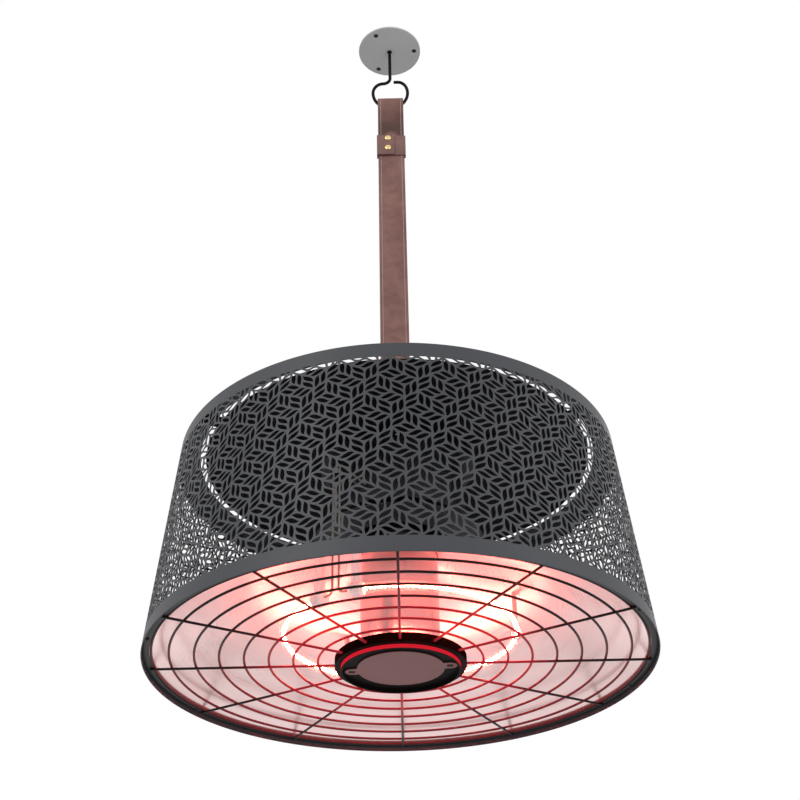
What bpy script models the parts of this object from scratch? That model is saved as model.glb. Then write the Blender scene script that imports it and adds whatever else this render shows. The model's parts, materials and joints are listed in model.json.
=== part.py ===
"""A hanging patio heater as an assembly of separate solids.

Units are metres and +Z is up. The origin is the centre of the ceiling plate's top face.
Heater pieces are written in the rim frame, whose zero is the bottom edge of the shade.
"""

import math

import bmesh
import bpy
from mathutils import Matrix, Vector

# Clearances shared by all pieces
FIT = 0.0003
SCREW_PLAY = 0.0003
OVERRUN = 0.002

# Ceiling plate
PLATE_RADIUS = 0.050
PLATE_THICKNESS = 0.003
PLATE_EDGE = 0.0006
PLATE_HOLE_CIRCLE = 0.040
PLATE_HOLE_RADIUS = 0.0027
PLATE_HOLES = 3
PLATE_HOLE_TURN = math.radians(-2)

# Hook, one bent rod in the plane Y = 0
HOOK_ROD = 0.0025
HOOK_SHANK = 0.0622
HOOK_BEND_REACH = 0.0115
HOOK_BEND_DROP = 0.012
HOOK_SHOULDER_DROP = 0.0215
HOOK_HALF_WIDTH = 0.0275
HOOK_DEPTH = 0.034
HOOK_CROWN_REACH = 0.0125
HOOK_CROWN_RISE = 0.0245
HOOK_FREE_END = 0.0062

# Strap, a leather loop from the hook to the hanger bar
STRAP_WIDTH = 0.040
STRAP_THICKNESS = 0.002
STRAP_GAP = 0.001
STRAP_REACH = 0.6455
STRAP_TOP_TAPER = 0.045
STRAP_FOOT_TAPER = 0.035

# Keeper, the sleeve that draws the two layers together, and its studs
KEEPER_HEIGHT = 0.041
KEEPER_DROP = 0.0917
KEEPER_THICKNESS = 0.0018
KEEPER_FLAP_EDGE = 0.005
STUD_RADIUS = 0.00475
STUD_HEIGHT = 0.0015
STUD_CROWN = 0.0006
STUD_SHANK = 0.0015
STUD_X = -0.005
STUD_SPACING = 0.0205
STUD_RAISE = 0.0037

# Hanger bar, its ring and its bracket
BAR_RADIUS = 0.004
BAR_HEIGHT = 0.0214
BAR_OVERHANG = 0.005
BAR_EDGE = 0.0006
BAR_HEAD_RADIUS = 0.0075
BAR_HEAD_THICKNESS = 0.002
RING_RADIUS = 0.0075
RING_THICKNESS = 0.0012
BRACKET_THICKNESS = 0.0025
BRACKET_LENGTH = 0.100
BRACKET_DEPTH = 0.040
BRACKET_EAR_GAP = 0.046
BRACKET_EAR_MARGIN = 0.009
BOLT_X = 0.040
BOLT_SHANK = 0.0025
BOLT_HEAD = 0.0045
BOLT_HEAD_HEIGHT = 0.0035
BOLT_TAIL = 0.002

# Shade
SHADE_HEIGHT = 0.270
SHADE_BOTTOM_RADIUS = 0.300
SHADE_TAPER = 0.025
SHADE_WALL = 0.0012
SHADE_FLANGE_WIDTH = 0.0245
SHADE_LIP_WIDTH = 0.0065
SHADE_TOP_BAND = 0.0194
SHADE_BOTTOM_BAND = 0.0184
SHADE_ROWS = 3
SHADE_COLUMNS = 24
SHADE_OPENING_HEIGHT = 0.034

# Top cover, and the spider under it that carries the shade
COVER_GAP = 0.0065
COVER_THICKNESS = 0.0015
SPIDER_THICKNESS = 0.0015
SPIDER_DISC_RADIUS = 0.102
SPIDER_ARMS = 3
SPIDER_TURN = math.radians(90)
SPIDER_ARM_WIDTH = 0.022
SPIDER_ARM_INSET = 0.010
SPIDER_SCREW_INSET = 0.0175
SPIDER_NUT_HEIGHT = 0.004
SPIDER_NUT_RADIUS = 0.006

# Small screws
SCREW_SHANK = 0.0015
SCREW_HEAD = 0.003
SCREW_HEAD_HEIGHT = 0.0015
SCREW_TAIL = 0.0015

# Guard of welded wires on a flat rim ring
WIRE_RADIUS = 0.0015
WELD_SINK = 0.0006
SPOKE_HEIGHT = 0.0045
SPOKES = 12
SPOKE_LAP = 0.004
GUARD_HUB_GAP = 0.0195
GUARD_RIM_GAP = 0.0005
GUARD_LAST_GAP = 0.0199
GUARD_INNER_RINGS = 7
RIM_RING_THICKNESS = 0.0015
RIM_RING_WIDTH = 0.0072
RIM_SCREWS = 8
RIM_SCREW_TURN = math.radians(-28)
RIM_SCREW_INSET = 0.0034
RIM_SCREW_HEAD = 0.0022
RIM_SCREW_HEAD_HEIGHT = 0.0013

# Hub below the column
HUB_RADIUS = 0.0775
HUB_HEIGHT = 0.012
HUB_WALL = 0.0015
HUB_EDGE = 0.001
HUB_RIB = 0.006
HUB_COVER_RADIUS = 0.0705
HUB_COVER_DROP = 0.0046
HUB_COVER_RISE = 0.0017
HUB_LIP_WIDTH = 0.0025
HUB_FLOOR = 0.0002
BADGE_RADIUS = 0.0515
BADGE_THICKNESS = 0.0012
BADGE_EAR_REACH = 0.0665
BADGE_EAR_HALF_WIDTH = 0.0085
BADGE_TURN = math.radians(-7)
HUB_SCREW_CIRCLE = 0.058
HUB_SCREW_HEAD = 0.0026
HUB_SCREW_HEAD_HEIGHT = 0.001
HUB_SCREW_PLAY = 0.0006

# Column, and the tie rod that holds hub, column and heat shield to the housing
COLUMN_RADIUS = 0.0475
COLUMN_WALL = 0.0012
ROD_RADIUS = 0.003
ROD_HEAD = 0.0055
ROD_HEAD_HEIGHT = 0.004
ROD_TAIL = 0.001
ROD_NUT_HEIGHT = 0.004

# Reflector dish
DISH_THICKNESS = 0.001
DISH_RIM_WIDTH = 0.0092
DISH_SHIELD_GAP = 0.0204
DISH_COLUMN_PLAY = 0.0005

# Control housing, a pan hung under the spider
HOUSING_RADIUS = 0.085
HOUSING_WALL = 0.0012
HOUSING_DEPTH = 0.085
HOUSING_FLANGE = 0.098
HOUSING_SCREWS = 3
HOUSING_SCREW_CIRCLE = 0.0915
HOUSING_SCREW_TURN = math.radians(30)

# Heat shield, a stepped disc between the column and the housing
SHIELD_RADIUS = 0.105
SHIELD_CROWN_RADIUS = 0.053
SHIELD_STEP_RUN = 0.006
SHIELD_STEP_DROP = 0.018
SHIELD_THICKNESS = 0.001

# Control board and what stands on it
BOARD_LENGTH = 0.090
BOARD_WIDTH = 0.066
BOARD_THICKNESS = 0.0016
BOARD_RISE = 0.009
BOARD_HOLE_INSET = 0.006
BOSS_RADIUS = 0.004
BOARD_SCREW_GRIP = 0.006
RELAY_SIZE = (0.029, 0.019, 0.016)
RELAY_PLACE = (0.002, 0.012)
BLOCK_SIZE = (0.040, 0.016, 0.014)
BLOCK_PLACE = (0.0, -0.021)
BLOCK_WAYS = 4
BLOCK_BORE = 0.002
BLOCK_BORE_DEPTH = 0.008
CUTOUT_RADIUS = 0.008
CUTOUT_HEIGHT = 0.007
CUTOUT_FLANGE = 0.012
CUTOUT_FLANGE_THICKNESS = 0.001
CUTOUT_PLACE = (0.0, 0.060)
WIRE_JACKET = 0.001
WIRE_LIFT = 0.010
WIRE_BOW = 0.010
WIRE_WAY = 2

# Ring lamp, its end caps, holders, clips and leads
LAMP_CIRCLE = 0.138
LAMP_HEIGHT = 0.040
LAMP_TUBE = 0.0055
LAMP_STUB = 0.002
LAMP_GAP_CENTRE = math.radians(-120)
LAMP_GAP_ARC = math.radians(28)
CAP_RADIUS = 0.0075
CAP_LENGTH = 0.018
CAP_EDGE = 0.0008
HOLDER_WALL = 0.0015
HOLDER_WIDTH = 0.010
HOLDER_STRAP = 0.008
CLIP_WALL = 0.0012
CLIP_WIDTH = 0.005
CLIP_STRAP = 0.005
CLIP_STEP = math.radians(120)
LEAD_RADIUS = 0.0013
LEAD_PLAY = 0.0006
LEAD_BEND = 0.012
LEAD_ENTRY_RISE = 0.0233
LEAD_REACH_IN = 0.013

# Cable gland on the cover
GLAND_Y = 0.064
GLAND_BORE = 0.0045
GLAND_THREAD = 0.0075
GLAND_COLLAR = 0.011
GLAND_COLLAR_HEIGHT = 0.004
GLAND_RISE = 0.012
GLAND_TAIL = 0.008
GLAND_NUT_RADIUS = 0.0105
GLAND_NUT_HEIGHT = 0.011
GLAND_NUT_EDGE = 0.0025
LOCK_NUT_RADIUS = 0.0115
LOCK_NUT_HEIGHT = 0.004

# Counts of facets
FINE = 72
MIDDLE = 48
ROUND = 32
PLAIN = 16
SMALL = 12
TINY = 8
HEX = 6
GUARD_STEPS = 36
LAMP_STEPS = 44

# Heights and places that follow from the sizes above
HOOK_TOP = -PLATE_THICKNESS - FIT
HOOK_BEND_TOP = HOOK_TOP - HOOK_SHANK
HOOK_WIDEST = HOOK_BEND_TOP - HOOK_BEND_DROP - HOOK_SHOULDER_DROP
HOOK_BOTTOM = HOOK_WIDEST - HOOK_DEPTH

SHADE_TOP_RADIUS = SHADE_BOTTOM_RADIUS - SHADE_TAPER
SHADE_FLANGE_RADIUS = SHADE_TOP_RADIUS - SHADE_FLANGE_WIDTH
COVER_RADIUS = SHADE_FLANGE_RADIUS - COVER_GAP
SPIDER_ARM_REACH = SHADE_TOP_RADIUS - SPIDER_ARM_INSET
SPIDER_SCREW_CIRCLE = SHADE_TOP_RADIUS - SPIDER_SCREW_INSET

GUARD_HEIGHT = SPOKE_HEIGHT + 2 * WIRE_RADIUS - WELD_SINK
RIM_RING_BOTTOM = SPOKE_HEIGHT + WIRE_RADIUS - WELD_SINK
LIP_BOTTOM = RIM_RING_BOTTOM + RIM_RING_THICKNESS + FIT
LIP_TOP = LIP_BOTTOM + SHADE_WALL
DISH_BOTTOM = LIP_TOP + FIT

RIM_REACH = SHADE_BOTTOM_RADIUS - SHADE_TAPER * LIP_TOP / SHADE_HEIGHT - SHADE_WALL - FIT
SHADE_LIP_RADIUS = RIM_REACH - SHADE_LIP_WIDTH
RIM_RING_RADIUS = RIM_REACH - RIM_RING_WIDTH
RIM_SCREW_CIRCLE = RIM_REACH - RIM_SCREW_INSET
DISH_MOUTH_RADIUS = RIM_REACH - DISH_RIM_WIDTH
SPOKE_END_RADIUS = RIM_RING_RADIUS + SPOKE_LAP
GUARD_FIRST_RADIUS = HUB_RADIUS + GUARD_HUB_GAP
GUARD_OUTER_RADIUS = RIM_RING_RADIUS - GUARD_RIM_GAP - WIRE_RADIUS
GUARD_LAST_RADIUS = GUARD_OUTER_RADIUS - GUARD_LAST_GAP
GUARD_PITCH = (GUARD_LAST_RADIUS - GUARD_FIRST_RADIUS) / (GUARD_INNER_RINGS - 1)
DISH_HOLE = COLUMN_RADIUS + DISH_COLUMN_PLAY

FLANGE_BOTTOM = SHADE_HEIGHT - SHADE_WALL
SPIDER_TOP = FLANGE_BOTTOM - FIT
SPIDER_BOTTOM = SPIDER_TOP - SPIDER_THICKNESS
COVER_BOTTOM = SPIDER_TOP + FIT
COVER_TOP = COVER_BOTTOM + COVER_THICKNESS
BRACKET_BOTTOM = COVER_TOP + FIT
BRACKET_TOP = BRACKET_BOTTOM + BRACKET_THICKNESS
BAR_LEVEL = COVER_TOP + BAR_HEIGHT
EAR_INNER = BRACKET_EAR_GAP / 2
EAR_OUTER = EAR_INNER + BRACKET_THICKNESS

HOUSING_TOP = SPIDER_BOTTOM - FIT
HOUSING_BOTTOM = HOUSING_TOP - HOUSING_DEPTH
HOUSING_FLOOR = HOUSING_BOTTOM + HOUSING_WALL
SHIELD_TOP = HOUSING_BOTTOM - FIT
DISH_TOP_HEIGHT = SHIELD_TOP - SHIELD_STEP_DROP - SHIELD_THICKNESS - DISH_SHIELD_GAP
COLUMN_BOTTOM = HUB_HEIGHT + FIT
COLUMN_TOP = SHIELD_TOP - SHIELD_THICKNESS - FIT
BOARD_BOTTOM = HOUSING_FLOOR + BOARD_RISE
BOARD_TOP = BOARD_BOTTOM + BOARD_THICKNESS
BOARD_PARTS = BOARD_TOP + FIT
BLOCK_FRONT = BLOCK_PLACE[1] - BLOCK_SIZE[1] / 2
BLOCK_LEVEL = BOARD_PARTS + BLOCK_SIZE[2] / 2
LEAD_LEVEL = HOUSING_BOTTOM + LEAD_ENTRY_RISE
GLAND_SEAT = COVER_TOP + FIT

ALONG_X = Matrix.Rotation(math.pi / 2, 4, "Y")
OUT_OF_FRONT = Matrix.Rotation(math.pi / 2, 4, "X")


def hook_saddle():
    """Middle height and half height of the rod that lies inside the strap's upper fold."""
    share = STRAP_WIDTH / 2 / HOOK_HALF_WIDTH
    root = math.sqrt(1 - share * share)
    slope = HOOK_DEPTH / HOOK_HALF_WIDTH * share / root
    top = HOOK_WIDEST - HOOK_DEPTH * root + HOOK_ROD * math.hypot(1, slope)
    bottom = HOOK_BOTTOM - HOOK_ROD
    return (top + bottom) / 2, (top - bottom) / 2


SADDLE_Z, SADDLE_HALF = hook_saddle()
BAR_Z = SADDLE_Z - STRAP_REACH
RIM_Z = BAR_Z - BAR_LEVEL
KEEPER_Z = SADDLE_Z - KEEPER_DROP


def clear_scene():
    for obj in list(bpy.data.objects):
        bpy.data.objects.remove(obj, do_unlink=True)


def material(name, colour, roughness, metallic=0.0, glow=0.0):
    made = bpy.data.materials.new(name)
    made.use_nodes = True
    shader = made.node_tree.nodes["Principled BSDF"]
    shader.inputs["Base Color"].default_value = (*colour, 1)
    shader.inputs["Roughness"].default_value = roughness
    shader.inputs["Metallic"].default_value = metallic
    shader.inputs["Emission Color"].default_value = (*colour, 1)
    shader.inputs["Emission Strength"].default_value = glow
    return made


def pivot(name, height, parent=None):
    """An empty on a joint's axis, at a height in the world."""
    made = bpy.data.objects.new(name, None)
    bpy.context.collection.objects.link(made)
    made["height"] = height
    made.parent = parent
    made.location.z = height - (parent["height"] if parent else 0)
    return made


def new_mesh(name, maker, sizes, look):
    """A mesh filled by maker(shape, *sizes), shaded smooth but for its sharp edges."""
    mesh = bpy.data.meshes.new(name)
    shape = bmesh.new()
    maker(shape, *sizes)
    bmesh.ops.recalc_face_normals(shape, faces=shape.faces)
    shape.to_mesh(mesh)
    shape.free()
    mesh.shade_smooth()
    mesh.set_sharp_from_angle(angle=math.radians(35))
    if look:
        mesh.materials.append(look)
    return mesh


class Group:
    """The pieces of one moving body. Heights given to it count from its datum."""

    def __init__(self, parent, datum):
        self.parent = parent
        self.datum = datum

    def place(self, name, mesh, spot=(0, 0, 0)):
        obj = bpy.data.objects.new(name, mesh)
        bpy.context.collection.objects.link(obj)
        obj.parent = self.parent
        base = self.datum - (self.parent["height"] if self.parent else 0)
        obj.location = (spot[0], spot[1], spot[2] + base)
        return obj

    def add(self, name, maker, look, *sizes):
        """One named piece."""
        return self.place(name, new_mesh(name, maker, sizes, look))

    def repeat(self, name, maker, look, spots):
        """Copies of one piece, which share their mesh."""
        mesh = new_mesh(name, maker, (), look)
        for number, spot in enumerate(spots, 1):
            self.place(f"{name}_{number}", mesh, spot)

    def tool(self, name, maker, *sizes):
        """A helper that cuts into, or is welded to, other pieces."""
        obj = self.add(name, maker, None, *sizes)
        obj.hide_render = True
        obj.display_type = "WIRE"
        return obj


def combine(obj, operation, tools):
    for tool in tools:
        boolean = obj.modifiers.new(tool.name, "BOOLEAN")
        boolean.operation = operation
        boolean.solver = "EXACT"
        boolean.object = tool


def cut(obj, *tools):
    combine(obj, "DIFFERENCE", tools)


def weld(obj, *tools):
    combine(obj, "UNION", tools)


def skin(shape, rings, closed=False):
    """Faces between rings of vertices, with flat ends unless the last ring joins the first."""
    pairs = list(zip(rings, rings[1:]))
    if closed:
        pairs.append((rings[-1], rings[0]))
    else:
        shape.faces.new(rings[0])
        shape.faces.new(rings[-1])
    for a, b in pairs:
        for i in range(len(a)):
            j = (i + 1) % len(a)
            shape.faces.new((a[i], a[j], b[j], b[i]))


def turned(shape, profile, steps, place=Matrix.Identity(4)):
    """A half section of (radius, height) points turned about the local Z axis.

    A section that starts on the axis ends on it too, and gets flat ends there.
    Returns its rings of vertices, one for each point off the axis.
    """
    angles = [2 * math.pi * i / steps for i in range(steps)]
    rings = []
    for radius, height in profile:
        if radius:
            points = [Vector((radius * math.cos(a), radius * math.sin(a), height)) for a in angles]
            rings.append([shape.verts.new(place @ p) for p in points])
    skin(shape, rings, closed=profile[0][0] > 0)
    return rings


def rod(shape, radius, low, high, steps, place=Matrix.Identity(4)):
    """A plain cylinder."""
    turned(shape, [(0, low), (radius, low), (radius, high), (0, high)], steps, place)


def sleeve(shape, inner, outer, low, high, steps, place=Matrix.Identity(4)):
    """A plain ring or washer."""
    turned(shape, [(inner, low), (outer, low), (outer, high), (inner, high)], steps, place)


def tube(shape, path, radius, sides, closed=False):
    """A round bar along a path, with flat ends unless it is closed."""
    points = [Vector(p) for p in path]
    last = len(points) - 1
    side = None
    rings = []
    for i, point in enumerate(points):
        before = points[i - 1] if i or closed else point
        after = points[(i + 1) % len(points)] if i < last or closed else point
        heading = (after - before).normalized()
        if side is None:
            side = heading.orthogonal()
        side = (side - side.dot(heading) * heading).normalized()
        other = heading.cross(side)
        turns = [2 * math.pi * k / sides for k in range(sides)]
        ring = [point + radius * (math.cos(t) * side + math.sin(t) * other) for t in turns]
        rings.append([shape.verts.new(p) for p in ring])
    skin(shape, rings, closed)


def prism(shape, outline, low, high, place=Matrix.Identity(4)):
    """An outline in the local XY plane pushed from low to high along local Z."""
    ends = [[place @ Vector((x, y, z)) for x, y in outline] for z in (low, high)]
    skin(shape, [[shape.verts.new(p) for p in end] for end in ends])


def nut(shape, bore, radius, low, high, place=Matrix.Identity(4)):
    """A hexagonal nut with a round bore."""
    angles = [math.pi * i / HEX for i in range(2 * HEX)]
    reaches = (radius, radius * math.cos(math.pi / HEX))
    outer = [polar(reaches[i % 2], angle) for i, angle in enumerate(angles)]
    inner = [polar(bore, angle) for angle in angles]
    loops = [(inner, low), (outer, low), (outer, high), (inner, high)]
    rings = [[place @ Vector((x, y, z)) for x, y in outline] for outline, z in loops]
    skin(shape, [[shape.verts.new(p) for p in ring] for ring in rings], closed=True)


def box(shape, centre, size, low):
    """A block over a centre (x, y), with its underside at low."""
    (x, y), (length, width, height) = centre, size
    a, b, c, d = x - length / 2, x + length / 2, y - width / 2, y + width / 2
    prism(shape, [(a, c), (b, c), (b, d), (a, d)], low, low + height)


def arc(centre, reach, rise, start, end, steps):
    """Points of an elliptic arc about a centre, angles in degrees, both ends included."""
    angles = [math.radians(start + (end - start) * i / steps) for i in range(steps + 1)]
    return [(centre[0] + reach * math.cos(a), centre[1] + rise * math.sin(a)) for a in angles]


def smooth(points, steps):
    """A curve that starts and ends at the first and last points and rounds the rest."""
    middles = [a.lerp(b, 1 / 2) for a, b in zip(points, points[1:])]
    curve = [points[0]]
    for a, corner, b in zip(middles, points[1:], middles[1:]):
        for i in range(steps + 1):
            t = i / steps
            curve.append(a.lerp(corner, t).lerp(corner.lerp(b, t), t))
    return [*curve, points[-1]]


def polar(radius, angle):
    return radius * math.cos(angle), radius * math.sin(angle)


def circle_spots(count, radius, turn, height=0.0):
    return [(*polar(radius, turn + 2 * math.pi * i / count), height) for i in range(count)]


def at(x, y, z=0.0):
    return Matrix.Translation((x, y, z))


def holes(shape, spots, radius, low, high):
    """Cylinders that cut holes from low to high, with an overrun past both.

    They are turned half a facet, so that their corners miss the facets of what they cut.
    """
    for x, y, _ in spots:
        place = at(x, y) @ Matrix.Rotation(math.pi / SMALL, 4, "Z")
        rod(shape, radius, low - OVERRUN, high + OVERRUN, SMALL, place)


def screw(shape, head, head_height, shank, length, steps):
    """A screw seated on local z = 0 with its shank below, turned over by a negative length."""
    down = math.copysign(1, length)
    under, crown = down * FIT, down * (FIT + head_height)
    rounding = head_height / 3
    profile = [
        (0, -length),
        (shank, -length),
        (shank, under),
        (head, under),
        (head, crown - down * rounding),
        (head - rounding, crown),
        (0, crown),
    ]
    turned(shape, profile, steps)


def small_screw(shape, length):
    screw(shape, SCREW_HEAD, SCREW_HEAD_HEIGHT, SCREW_SHANK, length, TINY)


def shade_outer(height):
    """Outer radius of the shade's wall at a height over its bottom edge."""
    return SHADE_BOTTOM_RADIUS - SHADE_TAPER * height / SHADE_HEIGHT


def shade_inner(height):
    return shade_outer(height) - SHADE_WALL


def dish_height(radius):
    """Height of the dish's lower surface at a radius."""
    share = (DISH_MOUTH_RADIUS - radius) / (DISH_MOUTH_RADIUS - DISH_HOLE)
    return DISH_BOTTOM + (DISH_TOP_HEIGHT - DISH_BOTTOM) * share


# Ceiling plate and hook


def ceiling_plate(shape):
    profile = [
        (0, 0),
        (PLATE_RADIUS - PLATE_EDGE, 0),
        (PLATE_RADIUS, -PLATE_EDGE),
        (PLATE_RADIUS, PLATE_EDGE - PLATE_THICKNESS),
        (PLATE_RADIUS - PLATE_EDGE, -PLATE_THICKNESS),
        (0, -PLATE_THICKNESS),
    ]
    turned(shape, profile, ROUND)


def plate_holes(shape):
    spots = circle_spots(PLATE_HOLES, PLATE_HOLE_CIRCLE, PLATE_HOLE_TURN)
    holes(shape, spots, PLATE_HOLE_RADIUS, -PLATE_THICKNESS, 0)


def ceiling_hook(shape):
    """A rod from the plate down its shank and round to the free end."""
    bend = arc((-HOOK_BEND_REACH, HOOK_BEND_TOP), HOOK_BEND_REACH, HOOK_BEND_DROP, 0, -90, 6)
    shoulder_reach = HOOK_HALF_WIDTH - HOOK_BEND_REACH
    shoulder = arc((-HOOK_BEND_REACH, HOOK_WIDEST), shoulder_reach, HOOK_SHOULDER_DROP, 90, 180, 7)
    bowl = arc((0, HOOK_WIDEST), HOOK_HALF_WIDTH, HOOK_DEPTH, 180, 360, 16)
    crown_reach = HOOK_HALF_WIDTH - HOOK_CROWN_REACH
    crown = arc((HOOK_CROWN_REACH, HOOK_WIDEST), crown_reach, HOOK_CROWN_RISE, 0, 90, 7)
    free_end = (HOOK_FREE_END, HOOK_WIDEST + HOOK_CROWN_RISE)
    path = [(0, HOOK_TOP), *bend, *shoulder[1:], *bowl[1:], *crown[1:], free_end]
    tube(shape, [(x, 0, z) for x, z in path], HOOK_ROD, TINY)


# Strap and keeper


def strap_fold(radius, half_gap, taper):
    """Half outline (y, z) of a fold, from its crown down to the flat layer."""
    fold_steps, taper_steps = 12, 6
    fold = arc((0, 0), radius, radius, 90, 0, fold_steps)
    for i in range(1, taper_steps + 1):
        share = (1 + math.cos(math.pi * i / taper_steps)) / 2
        fold.append((half_gap + (radius - half_gap) * share, -taper * i / taper_steps))
    return fold


def strap_loop(grow):
    """Closed outline (y, z) of the strap's inner face, or its outer one if grow is its thickness."""
    half_gap = STRAP_GAP / 2 + grow
    top = strap_fold(SADDLE_HALF + FIT + grow, half_gap, STRAP_TOP_TAPER)
    foot = strap_fold(BAR_RADIUS + FIT + grow, half_gap, STRAP_FOOT_TAPER)
    right = top + [(y, -STRAP_REACH - z) for y, z in reversed(foot)]
    return right + [(-y, z) for y, z in reversed(right[1:-1])]


def hanging_strap(shape):
    half = STRAP_WIDTH / 2
    edges = ((-half, 0), (-half, STRAP_THICKNESS), (half, STRAP_THICKNESS), (half, 0))
    loops = [[shape.verts.new((x, y, z)) for y, z in strap_loop(grow)] for x, grow in edges]
    skin(shape, loops, closed=True)


def keeper_opening():
    """Half width and half depth of the keeper's inner opening."""
    return STRAP_WIDTH / 2 + FIT, STRAP_GAP / 2 + STRAP_THICKNESS + FIT


def strap_keeper(shape):
    """A sleeve whose front layer is doubled by the flap."""
    half_width, half_depth = keeper_opening()
    side = half_width + KEEPER_THICKNESS
    front = -half_depth - KEEPER_THICKNESS
    outline = [
        (-side, front - KEEPER_THICKNESS),
        (KEEPER_FLAP_EDGE, front - KEEPER_THICKNESS),
        (KEEPER_FLAP_EDGE, front),
        (side, front),
        (side, half_depth + KEEPER_THICKNESS),
        (-side, half_depth + KEEPER_THICKNESS),
    ]
    prism(shape, outline, -KEEPER_HEIGHT / 2, KEEPER_HEIGHT / 2)


def keeper_bore(shape):
    half_width, half_depth = keeper_opening()
    size = (2 * half_width, 2 * half_depth, KEEPER_HEIGHT + 2 * OVERRUN)
    box(shape, (0, 0), size, -KEEPER_HEIGHT / 2 - OVERRUN)


def stud_spots():
    face = -keeper_opening()[1] - 2 * KEEPER_THICKNESS
    heights = (STUD_RAISE + STUD_SPACING / 2, STUD_RAISE - STUD_SPACING / 2)
    return [(STUD_X, face, z) for z in heights]


def keeper_stud(shape):
    profile = [
        (0, -KEEPER_THICKNESS),
        (STUD_SHANK, -KEEPER_THICKNESS),
        (STUD_SHANK, FIT),
        (STUD_RADIUS, FIT),
        (STUD_RADIUS, STUD_HEIGHT - STUD_CROWN),
        (STUD_RADIUS - STUD_CROWN, STUD_HEIGHT),
        (0, STUD_HEIGHT),
    ]
    turned(shape, profile, SMALL, OUT_OF_FRONT)


def stud_holes(shape):
    for spot in stud_spots():
        rod(shape, STUD_SHANK + FIT, -KEEPER_THICKNESS - FIT, OVERRUN, SMALL, at(*spot) @ OUT_OF_FRONT)


# Hanger bar and bracket


def hanger_bar(shape):
    """A pin along X with a head at one end."""
    end, seat = EAR_OUTER + BAR_OVERHANG, EAR_OUTER + FIT
    profile = [
        (0, -seat - BAR_HEAD_THICKNESS),
        (BAR_HEAD_RADIUS, -seat - BAR_HEAD_THICKNESS),
        (BAR_HEAD_RADIUS, -seat),
        (BAR_RADIUS, -seat),
        (BAR_RADIUS, end - BAR_EDGE),
        (BAR_RADIUS - BAR_EDGE, end),
        (0, end),
    ]
    turned(shape, profile, PLAIN, ALONG_X)


def bar_ring(shape):
    near = EAR_OUTER + FIT
    sleeve(shape, BAR_RADIUS + FIT, RING_RADIUS, near, near + RING_THICKNESS, PLAIN, ALONG_X)


def hanger_bracket(shape):
    half, top = BRACKET_LENGTH / 2, BAR_LEVEL + BRACKET_EAR_MARGIN
    right = [
        (half, BRACKET_BOTTOM),
        (half, BRACKET_TOP),
        (EAR_OUTER, BRACKET_TOP),
        (EAR_OUTER, top),
        (EAR_INNER, top),
        (EAR_INNER, BRACKET_TOP),
    ]
    outline = right + [(-x, z) for x, z in reversed(right)]
    prism(shape, outline, -BRACKET_DEPTH / 2, BRACKET_DEPTH / 2, OUT_OF_FRONT)


def bar_bore(shape):
    end = EAR_OUTER + OVERRUN
    rod(shape, BAR_RADIUS + FIT, -end, end, PLAIN, at(0, 0, BAR_LEVEL) @ ALONG_X)


def bolt_spots(height=0.0):
    return [(-BOLT_X, 0, height), (BOLT_X, 0, height)]


def bolt_holes(shape):
    holes(shape, bolt_spots(), BOLT_SHANK + FIT, SPIDER_BOTTOM - SPIDER_NUT_HEIGHT, BRACKET_TOP)


def bracket_bolt(shape):
    grip = BRACKET_TOP - SPIDER_BOTTOM + SPIDER_NUT_HEIGHT
    screw(shape, BOLT_HEAD, BOLT_HEAD_HEIGHT, BOLT_SHANK, grip + BOLT_TAIL, HEX)


# Top cover and spider


def top_cover(shape):
    rod(shape, COVER_RADIUS, COVER_BOTTOM, COVER_TOP, FINE)


def spider_angles():
    return [SPIDER_TURN + 2 * math.pi * i / SPIDER_ARMS for i in range(SPIDER_ARMS)]


def top_spider(shape):
    """A disc with arms that reach under the shade's flange."""
    half = math.asin(SPIDER_ARM_WIDTH / 2 / SPIDER_DISC_RADIUS)
    gap = 360 / SPIDER_ARMS - math.degrees(2 * half)
    outline = []
    for angle in spider_angles():
        tip = Vector(polar(SPIDER_ARM_REACH, angle))
        aside = Vector(polar(SPIDER_ARM_WIDTH / 2, angle + math.pi / 2))
        start = math.degrees(angle + half)
        outline += [tuple(tip - aside), tuple(tip + aside)]
        outline += arc((0, 0), SPIDER_DISC_RADIUS, SPIDER_DISC_RADIUS, start, start + gap, SMALL)
    prism(shape, outline, SPIDER_BOTTOM, SPIDER_TOP)


def spider_nuts(shape):
    """Hexagonal nuts welded under the spider's disc."""
    low, high = SPIDER_BOTTOM - SPIDER_NUT_HEIGHT, SPIDER_TOP - SPIDER_THICKNESS / 2
    for x, y, _ in bolt_spots():
        rod(shape, SPIDER_NUT_RADIUS, low, high, HEX, at(x, y))


def spider_screw_spots(height=0.0):
    return circle_spots(SPIDER_ARMS, SPIDER_SCREW_CIRCLE, SPIDER_TURN, height)


def spider_screw_holes(shape):
    holes(shape, spider_screw_spots(), SCREW_SHANK + SCREW_PLAY, SPIDER_BOTTOM, SHADE_HEIGHT)


def spider_screw(shape):
    small_screw(shape, SHADE_HEIGHT - SPIDER_BOTTOM + SCREW_TAIL)


# Shade and guard


def opening_levels():
    """Lower and upper heights of the shade's rows of openings, from the bottom row up."""
    pitch = (SHADE_HEIGHT - SHADE_BOTTOM_BAND - SHADE_TOP_BAND) / SHADE_ROWS
    levels = []
    for row in range(SHADE_ROWS):
        middle = SHADE_BOTTOM_BAND + pitch * (row + 1 / 2)
        levels += [middle - SHADE_OPENING_HEIGHT / 2, middle + SHADE_OPENING_HEIGHT / 2]
    return levels


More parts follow.
